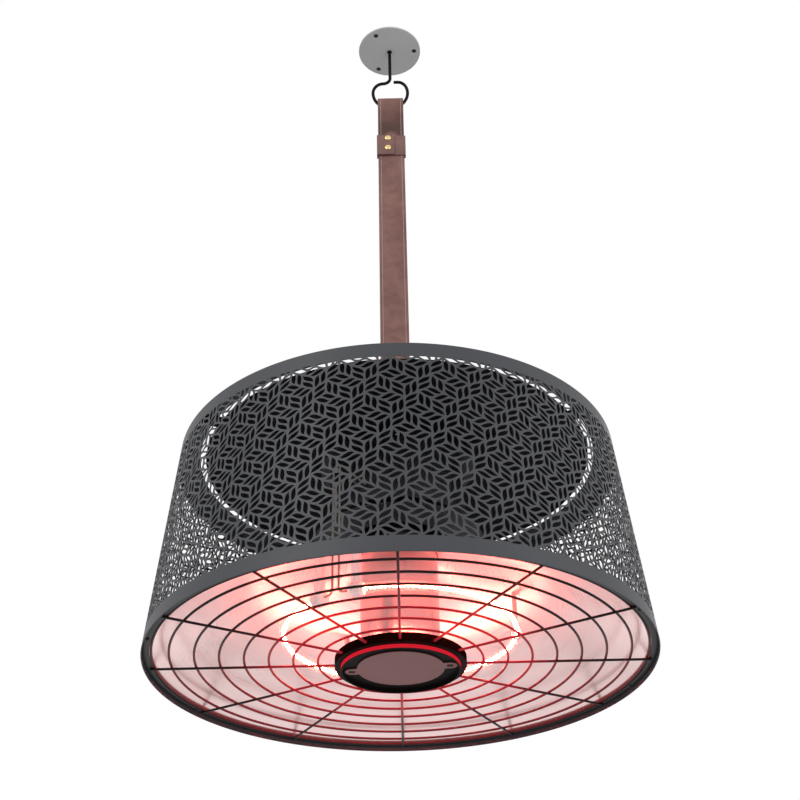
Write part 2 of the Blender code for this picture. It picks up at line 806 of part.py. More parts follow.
def shade(shape):
    """A sheet cone with a flange, a lip and a plain grid of openings in its wall."""
    levels = opening_levels()
    profile = [
        (SHADE_BOTTOM_RADIUS, 0),
        *[(shade_outer(z), z) for z in levels],
        (SHADE_TOP_RADIUS, SHADE_HEIGHT),
        (SHADE_FLANGE_RADIUS, SHADE_HEIGHT),
        (SHADE_FLANGE_RADIUS, FLANGE_BOTTOM),
        (shade_inner(FLANGE_BOTTOM), FLANGE_BOTTOM),
        *[(shade_inner(z), z) for z in reversed(levels)],
        (shade_inner(LIP_TOP), LIP_TOP),
        (SHADE_LIP_RADIUS, LIP_TOP),
        (SHADE_LIP_RADIUS, LIP_BOTTOM),
        (shade_inner(LIP_BOTTOM), LIP_BOTTOM),
        (shade_inner(0), 0),
    ]
    rings = turned(shape, profile, FINE)
    outer = rings[1 : 1 + len(levels)]
    inner = rings[5 + 2 * len(levels) - 1 : 5 + len(levels) - 1 : -1]
    facets = FINE // SHADE_COLUMNS
    for row in range(0, len(levels), 2):
        loops = (outer[row], outer[row + 1], inner[row + 1], inner[row])
        for column in range(SHADE_COLUMNS):
            pierce(shape, loops, column * facets, facets - 1)


def pierce(shape, loops, first, width):
    """An opening some facets wide through a wall, between two outer and two inner rings."""
    count = len(loops[0])
    outer_low, outer_high, inner_high, inner_low = loops
    for i in range(first, first + width):
        j = (i + 1) % count
        for low, high in ((outer_low, outer_high), (inner_low, inner_high)):
            shape.faces.remove(shape.faces.get((low[i], low[j], high[j], high[i])))
        for outer, inner in ((outer_low, inner_low), (outer_high, inner_high)):
            shape.faces.new((outer[i], outer[j], inner[j], inner[i]))
    for i in (first, (first + width) % count):
        shape.faces.new([loop[i] for loop in loops])


def guard_spokes(shape):
    for i in range(SPOKES):
        angle = 2 * math.pi * i / SPOKES
        ends = [(*polar(r, angle), SPOKE_HEIGHT) for r in (HUB_RADIUS + FIT, SPOKE_END_RADIUS)]
        tube(shape, ends, WIRE_RADIUS, HEX)


def guard_rings(shape):
    radii = [GUARD_FIRST_RADIUS + GUARD_PITCH * i for i in range(GUARD_INNER_RINGS)]
    for radius in [*radii, GUARD_OUTER_RADIUS]:
        points = arc((0, 0), radius, radius, 0, 360, GUARD_STEPS)[:-1]
        tube(shape, [(x, y, GUARD_HEIGHT) for x, y in points], WIRE_RADIUS, HEX, closed=True)


def rim_ring(shape):
    top = RIM_RING_BOTTOM + RIM_RING_THICKNESS
    sleeve(shape, RIM_RING_RADIUS, RIM_REACH, RIM_RING_BOTTOM, top, FINE)


def rim_screw_spots(height=0.0):
    return circle_spots(RIM_SCREWS, RIM_SCREW_CIRCLE, RIM_SCREW_TURN, height)


def rim_screw_holes(shape):
    top = DISH_BOTTOM + DISH_THICKNESS
    holes(shape, rim_screw_spots(), SCREW_SHANK + SCREW_PLAY, RIM_RING_BOTTOM, top)


def rim_screw(shape):
    grip = DISH_BOTTOM + DISH_THICKNESS - RIM_RING_BOTTOM
    screw(shape, RIM_SCREW_HEAD, RIM_SCREW_HEAD_HEIGHT, SCREW_SHANK, -grip - SCREW_TAIL, TINY)


# Dish, column and hub


def reflector_dish(shape):
    slope = (DISH_TOP_HEIGHT - DISH_BOTTOM) / (DISH_MOUTH_RADIUS - DISH_HOLE)
    thick = DISH_THICKNESS * math.hypot(1, slope)
    crease = DISH_MOUTH_RADIUS + (thick - DISH_THICKNESS) / slope
    profile = [
        (RIM_REACH, DISH_BOTTOM),
        (DISH_MOUTH_RADIUS, DISH_BOTTOM),
        (DISH_HOLE, DISH_TOP_HEIGHT),
        (DISH_HOLE, DISH_TOP_HEIGHT + thick),
        (crease, DISH_BOTTOM + DISH_THICKNESS),
        (RIM_REACH, DISH_BOTTOM + DISH_THICKNESS),
    ]
    turned(shape, profile, FINE)


def column(shape):
    """A tube with an end plate at each end."""
    hole, inner = ROD_RADIUS + FIT, COLUMN_RADIUS - COLUMN_WALL
    profile = [
        (hole, COLUMN_BOTTOM),
        (COLUMN_RADIUS, COLUMN_BOTTOM),
        (COLUMN_RADIUS, COLUMN_TOP),
        (hole, COLUMN_TOP),
        (hole, COLUMN_TOP - COLUMN_WALL),
        (inner, COLUMN_TOP - COLUMN_WALL),
        (inner, COLUMN_BOTTOM + COLUMN_WALL),
        (hole, COLUMN_BOTTOM + COLUMN_WALL),
    ]
    turned(shape, profile, ROUND)


def tie_rod(shape):
    """A long bolt from inside the hub up to the housing's floor."""
    seat = HUB_HEIGHT - HUB_WALL - FIT
    end = HOUSING_FLOOR + FIT + ROD_NUT_HEIGHT + ROD_TAIL
    profile = [
        (0, seat - ROD_HEAD_HEIGHT),
        (ROD_HEAD, seat - ROD_HEAD_HEIGHT),
        (ROD_HEAD, seat),
        (ROD_RADIUS, seat),
        (ROD_RADIUS, end),
        (0, end),
    ]
    turned(shape, profile, SMALL)


def tie_nut(shape):
    low = HOUSING_FLOOR + FIT
    nut(shape, ROD_RADIUS + FIT, ROD_HEAD, low, low + ROD_NUT_HEIGHT)


def rod_hole(shape):
    holes(shape, [(0, 0, 0)], ROD_RADIUS + FIT, HUB_HEIGHT - HUB_WALL, HOUSING_FLOOR)


def hub_body(shape):
    """A shallow cap, open below, with a thick rib for the hub cover's screws."""
    wall, rib = HUB_COVER_RADIUS + FIT, HUB_SCREW_CIRCLE - HUB_RIB / 2
    profile = [
        (0, HUB_HEIGHT - HUB_WALL),
        (rib, HUB_HEIGHT - HUB_WALL),
        (rib, HUB_COVER_RISE + FIT),
        (wall, HUB_COVER_RISE + FIT),
        (wall, 0),
        (HUB_RADIUS - HUB_EDGE, 0),
        (HUB_RADIUS, HUB_EDGE),
        (HUB_RADIUS, HUB_HEIGHT - HUB_EDGE),
        (HUB_RADIUS - HUB_EDGE, HUB_HEIGHT),
        (0, HUB_HEIGHT),
    ]
    turned(shape, profile, MIDDLE)


def hub_cover(shape):
    """A disc with a deep lip round the recess that takes the badge."""
    lip = HUB_COVER_RADIUS - HUB_LIP_WIDTH
    profile = [
        (0, HUB_FLOOR),
        (lip, HUB_FLOOR),
        (lip, -HUB_COVER_DROP),
        (HUB_COVER_RADIUS - HUB_EDGE, -HUB_COVER_DROP),
        (HUB_COVER_RADIUS, HUB_EDGE - HUB_COVER_DROP),
        (HUB_COVER_RADIUS, HUB_COVER_RISE),
        (0, HUB_COVER_RISE),
    ]
    turned(shape, profile, MIDDLE)


def hub_badge(shape):
    """A disc with a screw ear on each side."""
    lobe = math.degrees(math.asin(BADGE_EAR_HALF_WIDTH / BADGE_RADIUS))
    neck = BADGE_EAR_REACH - BADGE_EAR_HALF_WIDTH
    ear = arc((neck, 0), BADGE_EAR_HALF_WIDTH, BADGE_EAR_HALF_WIDTH, -90, 90, 6)
    side = arc((0, 0), BADGE_RADIUS, BADGE_RADIUS, lobe, 180 - lobe, 16)
    outline = ear + side + [(-x, -y) for x, y in ear + side]
    top = HUB_FLOOR - FIT
    prism(shape, outline, top - BADGE_THICKNESS, top, Matrix.Rotation(BADGE_TURN, 4, "Z"))


def hub_screw_spots(height=0.0):
    """One screw in each ear of the badge."""
    x, y = polar(HUB_SCREW_CIRCLE, BADGE_TURN)
    return [(x, y, height), (-x, -y, height)]


def hub_screw_length():
    return HUB_COVER_RISE - HUB_FLOOR + HUB_RIB / 2


def hub_screw(shape):
    """Its head passes through the badge's ear and bears on the hub cover's floor."""
    screw(shape, HUB_SCREW_HEAD, HUB_SCREW_HEAD_HEIGHT, SCREW_SHANK, -hub_screw_length(), TINY)


def badge_holes(shape):
    holes(shape, hub_screw_spots(), HUB_SCREW_HEAD + HUB_SCREW_PLAY, -HUB_COVER_DROP, HUB_FLOOR)


def hub_screw_holes(shape):
    high = HUB_FLOOR + hub_screw_length()
    holes(shape, hub_screw_spots(), SCREW_SHANK + SCREW_PLAY, HUB_FLOOR, high)


# Control housing and heat shield


def control_housing(shape):
    inner, flange_bottom = HOUSING_RADIUS - HOUSING_WALL, HOUSING_TOP - HOUSING_WALL
    profile = [
        (0, HOUSING_BOTTOM),
        (HOUSING_RADIUS, HOUSING_BOTTOM),
        (HOUSING_RADIUS, flange_bottom),
        (HOUSING_FLANGE, flange_bottom),
        (HOUSING_FLANGE, HOUSING_TOP),
        (inner, HOUSING_TOP),
        (inner, HOUSING_FLOOR),
        (0, HOUSING_FLOOR),
    ]
    turned(shape, profile, MIDDLE)


def housing_screw_spots(height=0.0):
    return circle_spots(HOUSING_SCREWS, HOUSING_SCREW_CIRCLE, HOUSING_SCREW_TURN, height)


def housing_screw_holes(shape):
    low = HOUSING_TOP - HOUSING_WALL
    holes(shape, housing_screw_spots(), SCREW_SHANK + SCREW_PLAY, low, COVER_TOP)


def housing_screw(shape):
    small_screw(shape, COVER_TOP - HOUSING_TOP + HOUSING_WALL + SCREW_TAIL)


def heat_shield(shape):
    """A sheet disc stepped up in the middle to where it is clamped."""
    hole, run, low = ROD_RADIUS + FIT, SHIELD_STEP_RUN, SHIELD_TOP - SHIELD_STEP_DROP
    shift = SHIELD_THICKNESS * math.tan(math.atan2(SHIELD_STEP_DROP, run) / 2)
    crown, foot = SHIELD_CROWN_RADIUS, SHIELD_CROWN_RADIUS + run
    profile = [
        (hole, SHIELD_TOP),
        (crown, SHIELD_TOP),
        (foot, low),
        (SHIELD_RADIUS, low),
        (SHIELD_RADIUS, low - SHIELD_THICKNESS),
        (foot - shift, low - SHIELD_THICKNESS),
        (crown - shift, SHIELD_TOP - SHIELD_THICKNESS),
        (hole, SHIELD_TOP - SHIELD_THICKNESS),
    ]
    turned(shape, profile, MIDDLE)


# Control board and what stands on it


def control_board(shape):
    box(shape, (0, 0), (BOARD_LENGTH, BOARD_WIDTH, BOARD_THICKNESS), BOARD_BOTTOM)


def boss_spots():
    x, y = BOARD_LENGTH / 2 - BOARD_HOLE_INSET, BOARD_WIDTH / 2 - BOARD_HOLE_INSET
    return [(-x, -y, 0), (x, -y, 0), (x, y, 0), (-x, y, 0)]


def board_bosses(shape):
    """Pillars on the housing's floor that the board rests on."""
    for x, y, _ in boss_spots():
        rod(shape, BOSS_RADIUS, HOUSING_FLOOR - HOUSING_WALL / 2, BOARD_BOTTOM - FIT, SMALL, at(x, y))


def board_screw_spots(height=0.0):
    """Every second boss has a screw."""
    return [(x, y, height) for x, y, _ in boss_spots()[::2]]


def board_screw_holes(shape):
    low = BOARD_BOTTOM - FIT - BOARD_SCREW_GRIP
    holes(shape, board_screw_spots(), SCREW_SHANK + SCREW_PLAY, low, BOARD_TOP)


def board_screw(shape):
    small_screw(shape, BOARD_THICKNESS + FIT + BOARD_SCREW_GRIP)


def relay(shape):
    box(shape, RELAY_PLACE, RELAY_SIZE, BOARD_PARTS)


def terminal_block(shape):
    box(shape, BLOCK_PLACE, BLOCK_SIZE, BOARD_PARTS)


def block_way_x(way):
    return BLOCK_PLACE[0] + BLOCK_SIZE[0] / BLOCK_WAYS * (way - (BLOCK_WAYS - 1) / 2)


def block_bores(shape):
    """Blind wire bores in the block's front face."""
    for way in range(BLOCK_WAYS):
        place = at(block_way_x(way), BLOCK_FRONT, BLOCK_LEVEL) @ OUT_OF_FRONT
        rod(shape, BLOCK_BORE, -BLOCK_BORE_DEPTH, OVERRUN, TINY, place)


def bore_end(way):
    """Where a wire ends inside the block."""
    return Vector((block_way_x(way), BLOCK_FRONT + BLOCK_BORE_DEPTH - FIT, BLOCK_LEVEL))


def relay_wire(shape):
    """A wire from the block back over its top to the relay."""
    x, front = block_way_x(WIRE_WAY), BLOCK_FRONT - WIRE_BOW
    relay_top = BOARD_PARTS + RELAY_SIZE[2] + FIT
    corners = [
        Vector((x, BLOCK_FRONT, BLOCK_LEVEL)),
        Vector((x, front, BLOCK_LEVEL)),
        Vector((x, front, relay_top + WIRE_LIFT)),
        Vector((x, RELAY_PLACE[1], relay_top + WIRE_LIFT)),
        Vector((x, RELAY_PLACE[1], relay_top)),
    ]
    tube(shape, [bore_end(WIRE_WAY), *smooth(corners, 4)], WIRE_JACKET, HEX)


def thermal_cutout(shape):
    """A disc thermostat on the housing's floor."""
    low = HOUSING_FLOOR + FIT
    rim = low + CUTOUT_FLANGE_THICKNESS
    profile = [
        (0, low),
        (CUTOUT_FLANGE, low),
        (CUTOUT_FLANGE, rim),
        (CUTOUT_RADIUS, rim),
        (CUTOUT_RADIUS, low + CUTOUT_HEIGHT),
        (0, low + CUTOUT_HEIGHT),
    ]
    turned(shape, profile, PLAIN, at(*CUTOUT_PLACE))


# Ring lamp


def lamp_ends():
    """Azimuths where the tube starts and ends, the two sides of the gap."""
    half = LAMP_GAP_ARC / 2
    return LAMP_GAP_CENTRE + half, LAMP_GAP_CENTRE - half + 2 * math.pi


def tangent_frame(angle, side):
    """A place on the lamp's circle: local Z runs along the tube, local X points up."""
    ahead = Vector((-math.sin(angle), math.cos(angle), 0)) * side
    up = Vector((0, 0, 1))
    turn = Matrix((up, ahead.cross(up), ahead)).transposed().to_4x4()
    return at(*polar(LAMP_CIRCLE, angle), LAMP_HEIGHT) @ turn


def cap_frames():
    """The tube's two ends, local Z pointing on into the gap."""
    start, end = lamp_ends()
    return [tangent_frame(start, -1), tangent_frame(end, 1)]


def ring_lamp(shape):
    """A tube round most of a circle, square at both ends."""
    start, end = lamp_ends()
    step = (end - start) / LAMP_STEPS
    ring = [(*polar(LAMP_CIRCLE, start + step * i), LAMP_HEIGHT) for i in range(1, LAMP_STEPS)]
    first, last = [[frame @ Vector((0, 0, z)) for z in (-LAMP_STUB, 0)] for frame in cap_frames()]
    tube(shape, [*reversed(first), *ring, *last], LAMP_TUBE, TINY)


def clip_frames():
    """Two clips, one on each side of the point across from the gap."""
    middle = LAMP_GAP_CENTRE + math.pi
    return [tangent_frame(middle + side * CLIP_STEP / 2, 1) for side in (-1, 1)]


def lamp_end_cap(shape, frame):
    profile = [
        (0, FIT),
        (CAP_RADIUS - CAP_EDGE, FIT),
        (CAP_RADIUS, FIT + CAP_EDGE),
        (CAP_RADIUS, CAP_LENGTH - CAP_EDGE),
        (CAP_RADIUS - CAP_EDGE, CAP_LENGTH),
        (0, CAP_LENGTH),
    ]
    turned(shape, profile, PLAIN, frame)


def hanging_loop(shape, frame, outer, width, strap):
    """A flat eye round the local Z axis, with a strap that rises to the dish."""
    lift = math.degrees(math.asin(strap / 2 / outer))
    outline = arc((0, 0), outer, outer, lift, 360 - lift, 14)
    for y in (-strap / 2, strap / 2):
        edge = frame @ Vector((0, y, 0))
        outline.append((dish_height(math.hypot(edge.x, edge.y)) - FIT - LAMP_HEIGHT, y))
    prism(shape, outline, -width / 2, width / 2, frame)


def loop_bore(shape, frame, radius, width):
    rod(shape, radius, -width / 2 - OVERRUN, width / 2 + OVERRUN, PLAIN, frame)


def hang(group, name, look, frame, radius, wall, width, strap):
    """One holder or clip, cut to the round thing that it carries."""
    loop = group.add(name, hanging_loop, look, frame, radius + FIT + wall, width, strap)
    cut(loop, group.tool(f"cut_{name}", loop_bore, frame, radius + FIT, width))


def lead_riser(frame):
    """Foot of a lead's rise, past the end cap."""
    return frame @ Vector((0, 0, CAP_LENGTH + LEAD_BEND))


def lead_entry(frame):
    """Where a lead crosses the housing's wall, level and in line with the lamp's gap."""
    inward = -Vector((*polar(1, LAMP_GAP_CENTRE), 0))
    foot = lead_riser(frame)
    across = foot.xy.cross(inward.xy)
    depth = -foot.xy.dot(inward.xy) - math.sqrt(HOUSING_RADIUS**2 - across**2)
    point = foot + inward * depth
    return Vector((point.x, point.y, LEAD_LEVEL)), inward


def lamp_lead(shape, frame, way):
    """From an end cap up through the dish, into the housing and on to the terminal block."""
    start = frame @ Vector((0, 0, CAP_LENGTH + FIT))
    foot = lead_riser(frame)
    entry, inward = lead_entry(frame)
    landing = Vector((block_way_x(way), BLOCK_FRONT, BLOCK_LEVEL))
    rise = smooth([start, foot, foot + Vector((0, 0, LEAD_BEND))], 3)
    top = Vector((foot.x, foot.y, LEAD_LEVEL))
    turn = smooth([top - Vector((0, 0, LEAD_BEND)), top, top + inward * LEAD_BEND], 3)
    before = landing - Vector((0, LEAD_BEND, 0))
    run = smooth([entry, entry + inward * LEAD_REACH_IN, before, landing], 4)
    tube(shape, [*rise, *turn, *run, bore_end(way)], LEAD_RADIUS, HEX)


def lead_holes(shape):
    """Clearance for the leads through the dish and the housing's wall."""
    radius = LEAD_RADIUS + LEAD_PLAY
    for frame in cap_frames():
        foot = lead_riser(frame)
        roof = dish_height(foot.xy.length)
        rod(shape, radius, roof - LEAD_BEND, roof + LEAD_BEND, TINY, at(foot.x, foot.y))
        entry, inward = lead_entry(frame)
        tube(shape, [entry - inward * LEAD_BEND, entry + inward * LEAD_BEND / 2], radius, TINY)


# Cable gland


def gland_body(shape):
    tail = SPIDER_BOTTOM - GLAND_TAIL
    profile = [
        (GLAND_BORE, tail),
        (GLAND_THREAD, tail),
        (GLAND_THREAD, GLAND_SEAT),
        (GLAND_COLLAR, GLAND_SEAT),
        (GLAND_COLLAR, GLAND_SEAT + GLAND_COLLAR_HEIGHT),
        (GLAND_THREAD, GLAND_SEAT + GLAND_COLLAR_HEIGHT),
        (GLAND_THREAD, GLAND_SEAT + GLAND_RISE),
        (GLAND_BORE, GLAND_SEAT + GLAND_RISE),
    ]
    turned(shape, profile, PLAIN, at(0, GLAND_Y))


def gland_nut(shape):
    low, bore = GLAND_SEAT + GLAND_COLLAR_HEIGHT + FIT, GLAND_THREAD + FIT
    high, shoulder = low + GLAND_NUT_HEIGHT, GLAND_SEAT + GLAND_RISE + FIT
    profile = [
        (bore, low),
        (GLAND_NUT_RADIUS, low),
        (GLAND_NUT_RADIUS, high - GLAND_NUT_EDGE),
        (GLAND_NUT_RADIUS - GLAND_NUT_EDGE / 2, high),
        (GLAND_BORE, high),
        (GLAND_BORE, shoulder),
        (bore, shoulder),
    ]
    turned(shape, profile, PLAIN, at(0, GLAND_Y))


def gland_lock_nut(shape):
    high = SPIDER_BOTTOM - FIT
    place = at(0, GLAND_Y)
    nut(shape, GLAND_THREAD + 2 * FIT, LOCK_NUT_RADIUS, high - LOCK_NUT_HEIGHT, high, place)


def gland_hole(shape):
    holes(shape, [(0, GLAND_Y, 0)], GLAND_THREAD + SCREW_PLAY, SPIDER_BOTTOM, COVER_TOP)


def make_materials():
    return {
        "black": material("black_steel", (0.012, 0.012, 0.013), 0.42, 0.4),
        "grey": material("plate_grey", (0.25, 0.25, 0.26), 0.4, 0.5),
        "leather": material("brown_leather", (0.24, 0.14, 0.12), 0.6),
        "brass": material("brass", (0.83, 0.62, 0.28), 0.25, 1.0),
        "powder": material("shade_powder_coat", (0.10, 0.105, 0.115), 0.5, 0.2),
        "zinc": material("zinc_steel", (0.55, 0.56, 0.57), 0.35, 1.0),
        "polished": material("polished_aluminium", (0.88, 0.87, 0.86), 0.18, 1.0),
        "hub": material("hub_plastic", (0.045, 0.030, 0.028), 0.38),
        "badge": material("badge_plastic", (0.16, 0.10, 0.095), 0.45),
        "ceramic": material("ceramic", (0.86, 0.84, 0.78), 0.5),
        "sleeve": material("lead_sleeve", (0.80, 0.78, 0.70), 0.8),
        "lamp": material("lamp_glow", (1.0, 0.45, 0.12), 0.3, 0.0, 6.0),
        "board": material("board_green", (0.05, 0.22, 0.09), 0.5),
        "relay": material("relay_blue", (0.05, 0.12, 0.35), 0.4),
        "white": material("white_plastic", (0.75, 0.75, 0.73), 0.45),
        "silicone": material("wire_silicone", (0.45, 0.06, 0.04), 0.55),
        "nylon": material("black_nylon", (0.02, 0.02, 0.02), 0.5),
    }


def build_ceiling_mount(look):
    fixed = Group(None, 0)
    plate = fixed.add("ceiling_plate", ceiling_plate, look["grey"])
    cut(plate, fixed.tool("cut_plate_holes", plate_holes))
    fixed.add("ceiling_hook", ceiling_hook, look["black"])


def build_strap(look, strap_pivot):
    Group(strap_pivot, SADDLE_Z).add("hanging_strap", hanging_strap, look["leather"])
    keeper = Group(pivot("keeper_slider", KEEPER_Z, strap_pivot), KEEPER_Z)
    band = keeper.add("strap_keeper", strap_keeper, look["leather"])
    cut(band, keeper.tool("cut_keeper_bore", keeper_bore), keeper.tool("cut_stud_holes", stud_holes))
    keeper.repeat("keeper_stud", keeper_stud, look["brass"], stud_spots())


def build_top(look, heater, bar, tools):
    bar.add("hanger_bar", hanger_bar, look["zinc"])
    bar.add("bar_ring", bar_ring, look["zinc"])
    bracket = heater.add("hanger_bracket", hanger_bracket, look["black"])
    cut(bracket, heater.tool("cut_bar_bore", bar_bore), tools["bolts"])
    heater.repeat("bracket_bolt", bracket_bolt, look["zinc"], bolt_spots(BRACKET_TOP))
    cover = heater.add("top_cover", top_cover, look["black"])
    cut(cover, tools["bolts"], tools["housing"], tools["gland"])
    spider = heater.add("top_spider", top_spider, look["black"])
    weld(spider, heater.tool("weld_spider_nuts", spider_nuts))
    cut(spider, tools["bolts"], tools["spider"], tools["housing"], tools["gland"])
    heater.repeat("spider_screw", spider_screw, look["zinc"], spider_screw_spots(SHADE_HEIGHT))
    heater.add("gland_body", gland_body, look["nylon"])
    heater.add("gland_nut", gland_nut, look["nylon"])
    heater.add("gland_lock_nut", gland_lock_nut, look["nylon"])


def build_shade_and_guard(look, heater, tools):
    cut(heater.add("shade", shade, look["powder"]), tools["spider"], tools["rim"])
    guard = heater.add("wire_guard", guard_spokes, look["black"])
    weld(guard, heater.tool("weld_guard_rings", guard_rings), heater.tool("weld_rim_ring", rim_ring))
    cut(guard, tools["rim"])
    heater.repeat("rim_screw", rim_screw, look["zinc"], rim_screw_spots(RIM_RING_BOTTOM))


def build_electrics(look, heater, tools):
    housing = heater.add("control_housing", control_housing, look["zinc"])
    weld(housing, heater.tool("weld_board_bosses", board_bosses))
    cut(housing, tools["housing"], tools["leads"], tools["rod"], tools["board"])
    heater.repeat("housing_screw", housing_screw, look["zinc"], housing_screw_spots(COVER_TOP))
    heater.add("heat_shield", heat_shield, look["zinc"])
    cut(heater.add("control_board", control_board, look["board"]), tools["board"])
    heater.repeat("board_screw", board_screw, look["zinc"], board_screw_spots(BOARD_TOP))
    heater.add("relay", relay, look["relay"])
    block = heater.add("terminal_block", terminal_block, look["white"])
    cut(block, heater.tool("cut_block_bores", block_bores))
    heater.add("relay_wire", relay_wire, look["silicone"])
    heater.add("thermal_cutout", thermal_cutout, look["nylon"])


def build_lamp(look, heater):
    heater.add("ring_lamp", ring_lamp, look["lamp"])
    past_end = Matrix.Translation((0, 0, CAP_LENGTH / 2))
    ways = (1, 0)
    for number, (frame, way) in enumerate(zip(cap_frames(), ways), 1):
        heater.add(f"lamp_end_cap_{number}", lamp_end_cap, look["ceramic"], frame)
        sizes = (CAP_RADIUS, HOLDER_WALL, HOLDER_WIDTH, HOLDER_STRAP)
        hang(heater, f"lamp_holder_{number}", look["zinc"], frame @ past_end, *sizes)
        heater.add(f"lamp_lead_{number}", lamp_lead, look["sleeve"], frame, way)
    for number, frame in enumerate(clip_frames(), 1):
        hang(heater, f"lamp_clip_{number}", look["zinc"], frame, LAMP_TUBE, CLIP_WALL, CLIP_WIDTH, CLIP_STRAP)


def build_reflector_and_hub(look, heater, tools):
    cut(heater.add("reflector_dish", reflector_dish, look["polished"]), tools["rim"], tools["leads"])
    heater.add("column", column, look["polished"])
    heater.add("tie_rod", tie_rod, look["zinc"])
    heater.add("tie_nut", tie_nut, look["zinc"])
    cut(heater.add("hub_body", hub_body, look["hub"]), tools["rod"], tools["hub"])
    cut(heater.add("hub_cover", hub_cover, look["hub"]), tools["hub"])
    cut(heater.add("hub_badge", hub_badge, look["badge"]), heater.tool("cut_badge_holes", badge_holes))
    heater.repeat("hub_screw", hub_screw, look["black"], hub_screw_spots(HUB_FLOOR))


def build():
    clear_scene()
    look = make_materials()
    build_ceiling_mount(look)
    strap_pivot = pivot("strap_pivot", SADDLE_Z)
    build_strap(look, strap_pivot)
    heater_pivot = pivot("heater_pivot", BAR_Z, strap_pivot)
    heater = Group(heater_pivot, RIM_Z)
    tools = {
        "bolts": heater.tool("cut_bolt_holes", bolt_holes),
        "spider": heater.tool("cut_spider_screw_holes", spider_screw_holes),
        "rim": heater.tool("cut_rim_screw_holes", rim_screw_holes),
        "housing": heater.tool("cut_housing_screw_holes", housing_screw_holes),
        "leads": heater.tool("cut_lead_holes", lead_holes),
        "rod": heater.tool("cut_rod_hole", rod_hole),
        "board": heater.tool("cut_board_screw_holes", board_screw_holes),
        "hub": heater.tool("cut_hub_screw_holes", hub_screw_holes),
        "gland": heater.tool("cut_gland_hole", gland_hole),
    }
    build_top(look, heater, Group(heater_pivot, BAR_Z), tools)
    build_shade_and_guard(look, heater, tools)
    build_electrics(look, heater, tools)
    build_lamp(look, heater)
    build_reflector_and_hub(look, heater, tools)


build()
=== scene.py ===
"""The looks of a hanging patio heater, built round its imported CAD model.

Units are metres and +Z is up. The origin is the centre of the ceiling plate's top face.
Heater pieces are written in the rim frame, whose zero is the bottom edge of the shade.
"""

import json
import math

import bmesh
import bpy
from mathutils import Matrix, Vector
from mathutils.geometry import delaunay_2d_cdt

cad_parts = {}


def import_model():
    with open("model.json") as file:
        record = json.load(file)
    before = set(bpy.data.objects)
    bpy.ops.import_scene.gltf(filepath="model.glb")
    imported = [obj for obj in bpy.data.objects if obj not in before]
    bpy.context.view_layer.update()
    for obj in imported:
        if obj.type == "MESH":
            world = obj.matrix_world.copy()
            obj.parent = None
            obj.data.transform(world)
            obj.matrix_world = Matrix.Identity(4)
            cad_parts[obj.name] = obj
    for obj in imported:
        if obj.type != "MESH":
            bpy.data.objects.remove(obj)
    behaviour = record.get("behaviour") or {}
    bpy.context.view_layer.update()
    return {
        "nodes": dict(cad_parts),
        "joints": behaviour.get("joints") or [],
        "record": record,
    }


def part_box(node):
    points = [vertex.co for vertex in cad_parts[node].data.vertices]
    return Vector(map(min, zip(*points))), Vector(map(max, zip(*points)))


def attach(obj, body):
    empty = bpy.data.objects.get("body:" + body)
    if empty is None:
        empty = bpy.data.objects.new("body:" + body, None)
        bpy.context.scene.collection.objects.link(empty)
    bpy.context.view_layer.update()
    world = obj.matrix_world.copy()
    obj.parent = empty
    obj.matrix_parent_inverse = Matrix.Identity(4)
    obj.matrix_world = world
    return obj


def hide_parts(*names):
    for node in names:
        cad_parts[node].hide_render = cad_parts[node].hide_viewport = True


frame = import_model()


def hinge_height(name):
    """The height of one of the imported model's joints."""
    return next(joint["pos_m"][2] for joint in frame["joints"] if joint["name"] == name)


SLOTS = {part["node"]: part["material_slot"] for part in frame["record"]["subparts"]}
RIM_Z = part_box("shade")[0].z
SADDLE_Z, BAR_Z = hinge_height("strap_swing"), hinge_height("heater_tilt")
OUT_OF_FRONT = Matrix.Rotation(math.pi / 2, 4, "X")
FIT = 0.0003  # room between pieces that fit into each other


# Materials


def opaque(colour):
    """A colour with full alpha. A node's output stays as it is."""
    return colour if isinstance(colour, bpy.types.NodeSocket) else (*colour, 1)


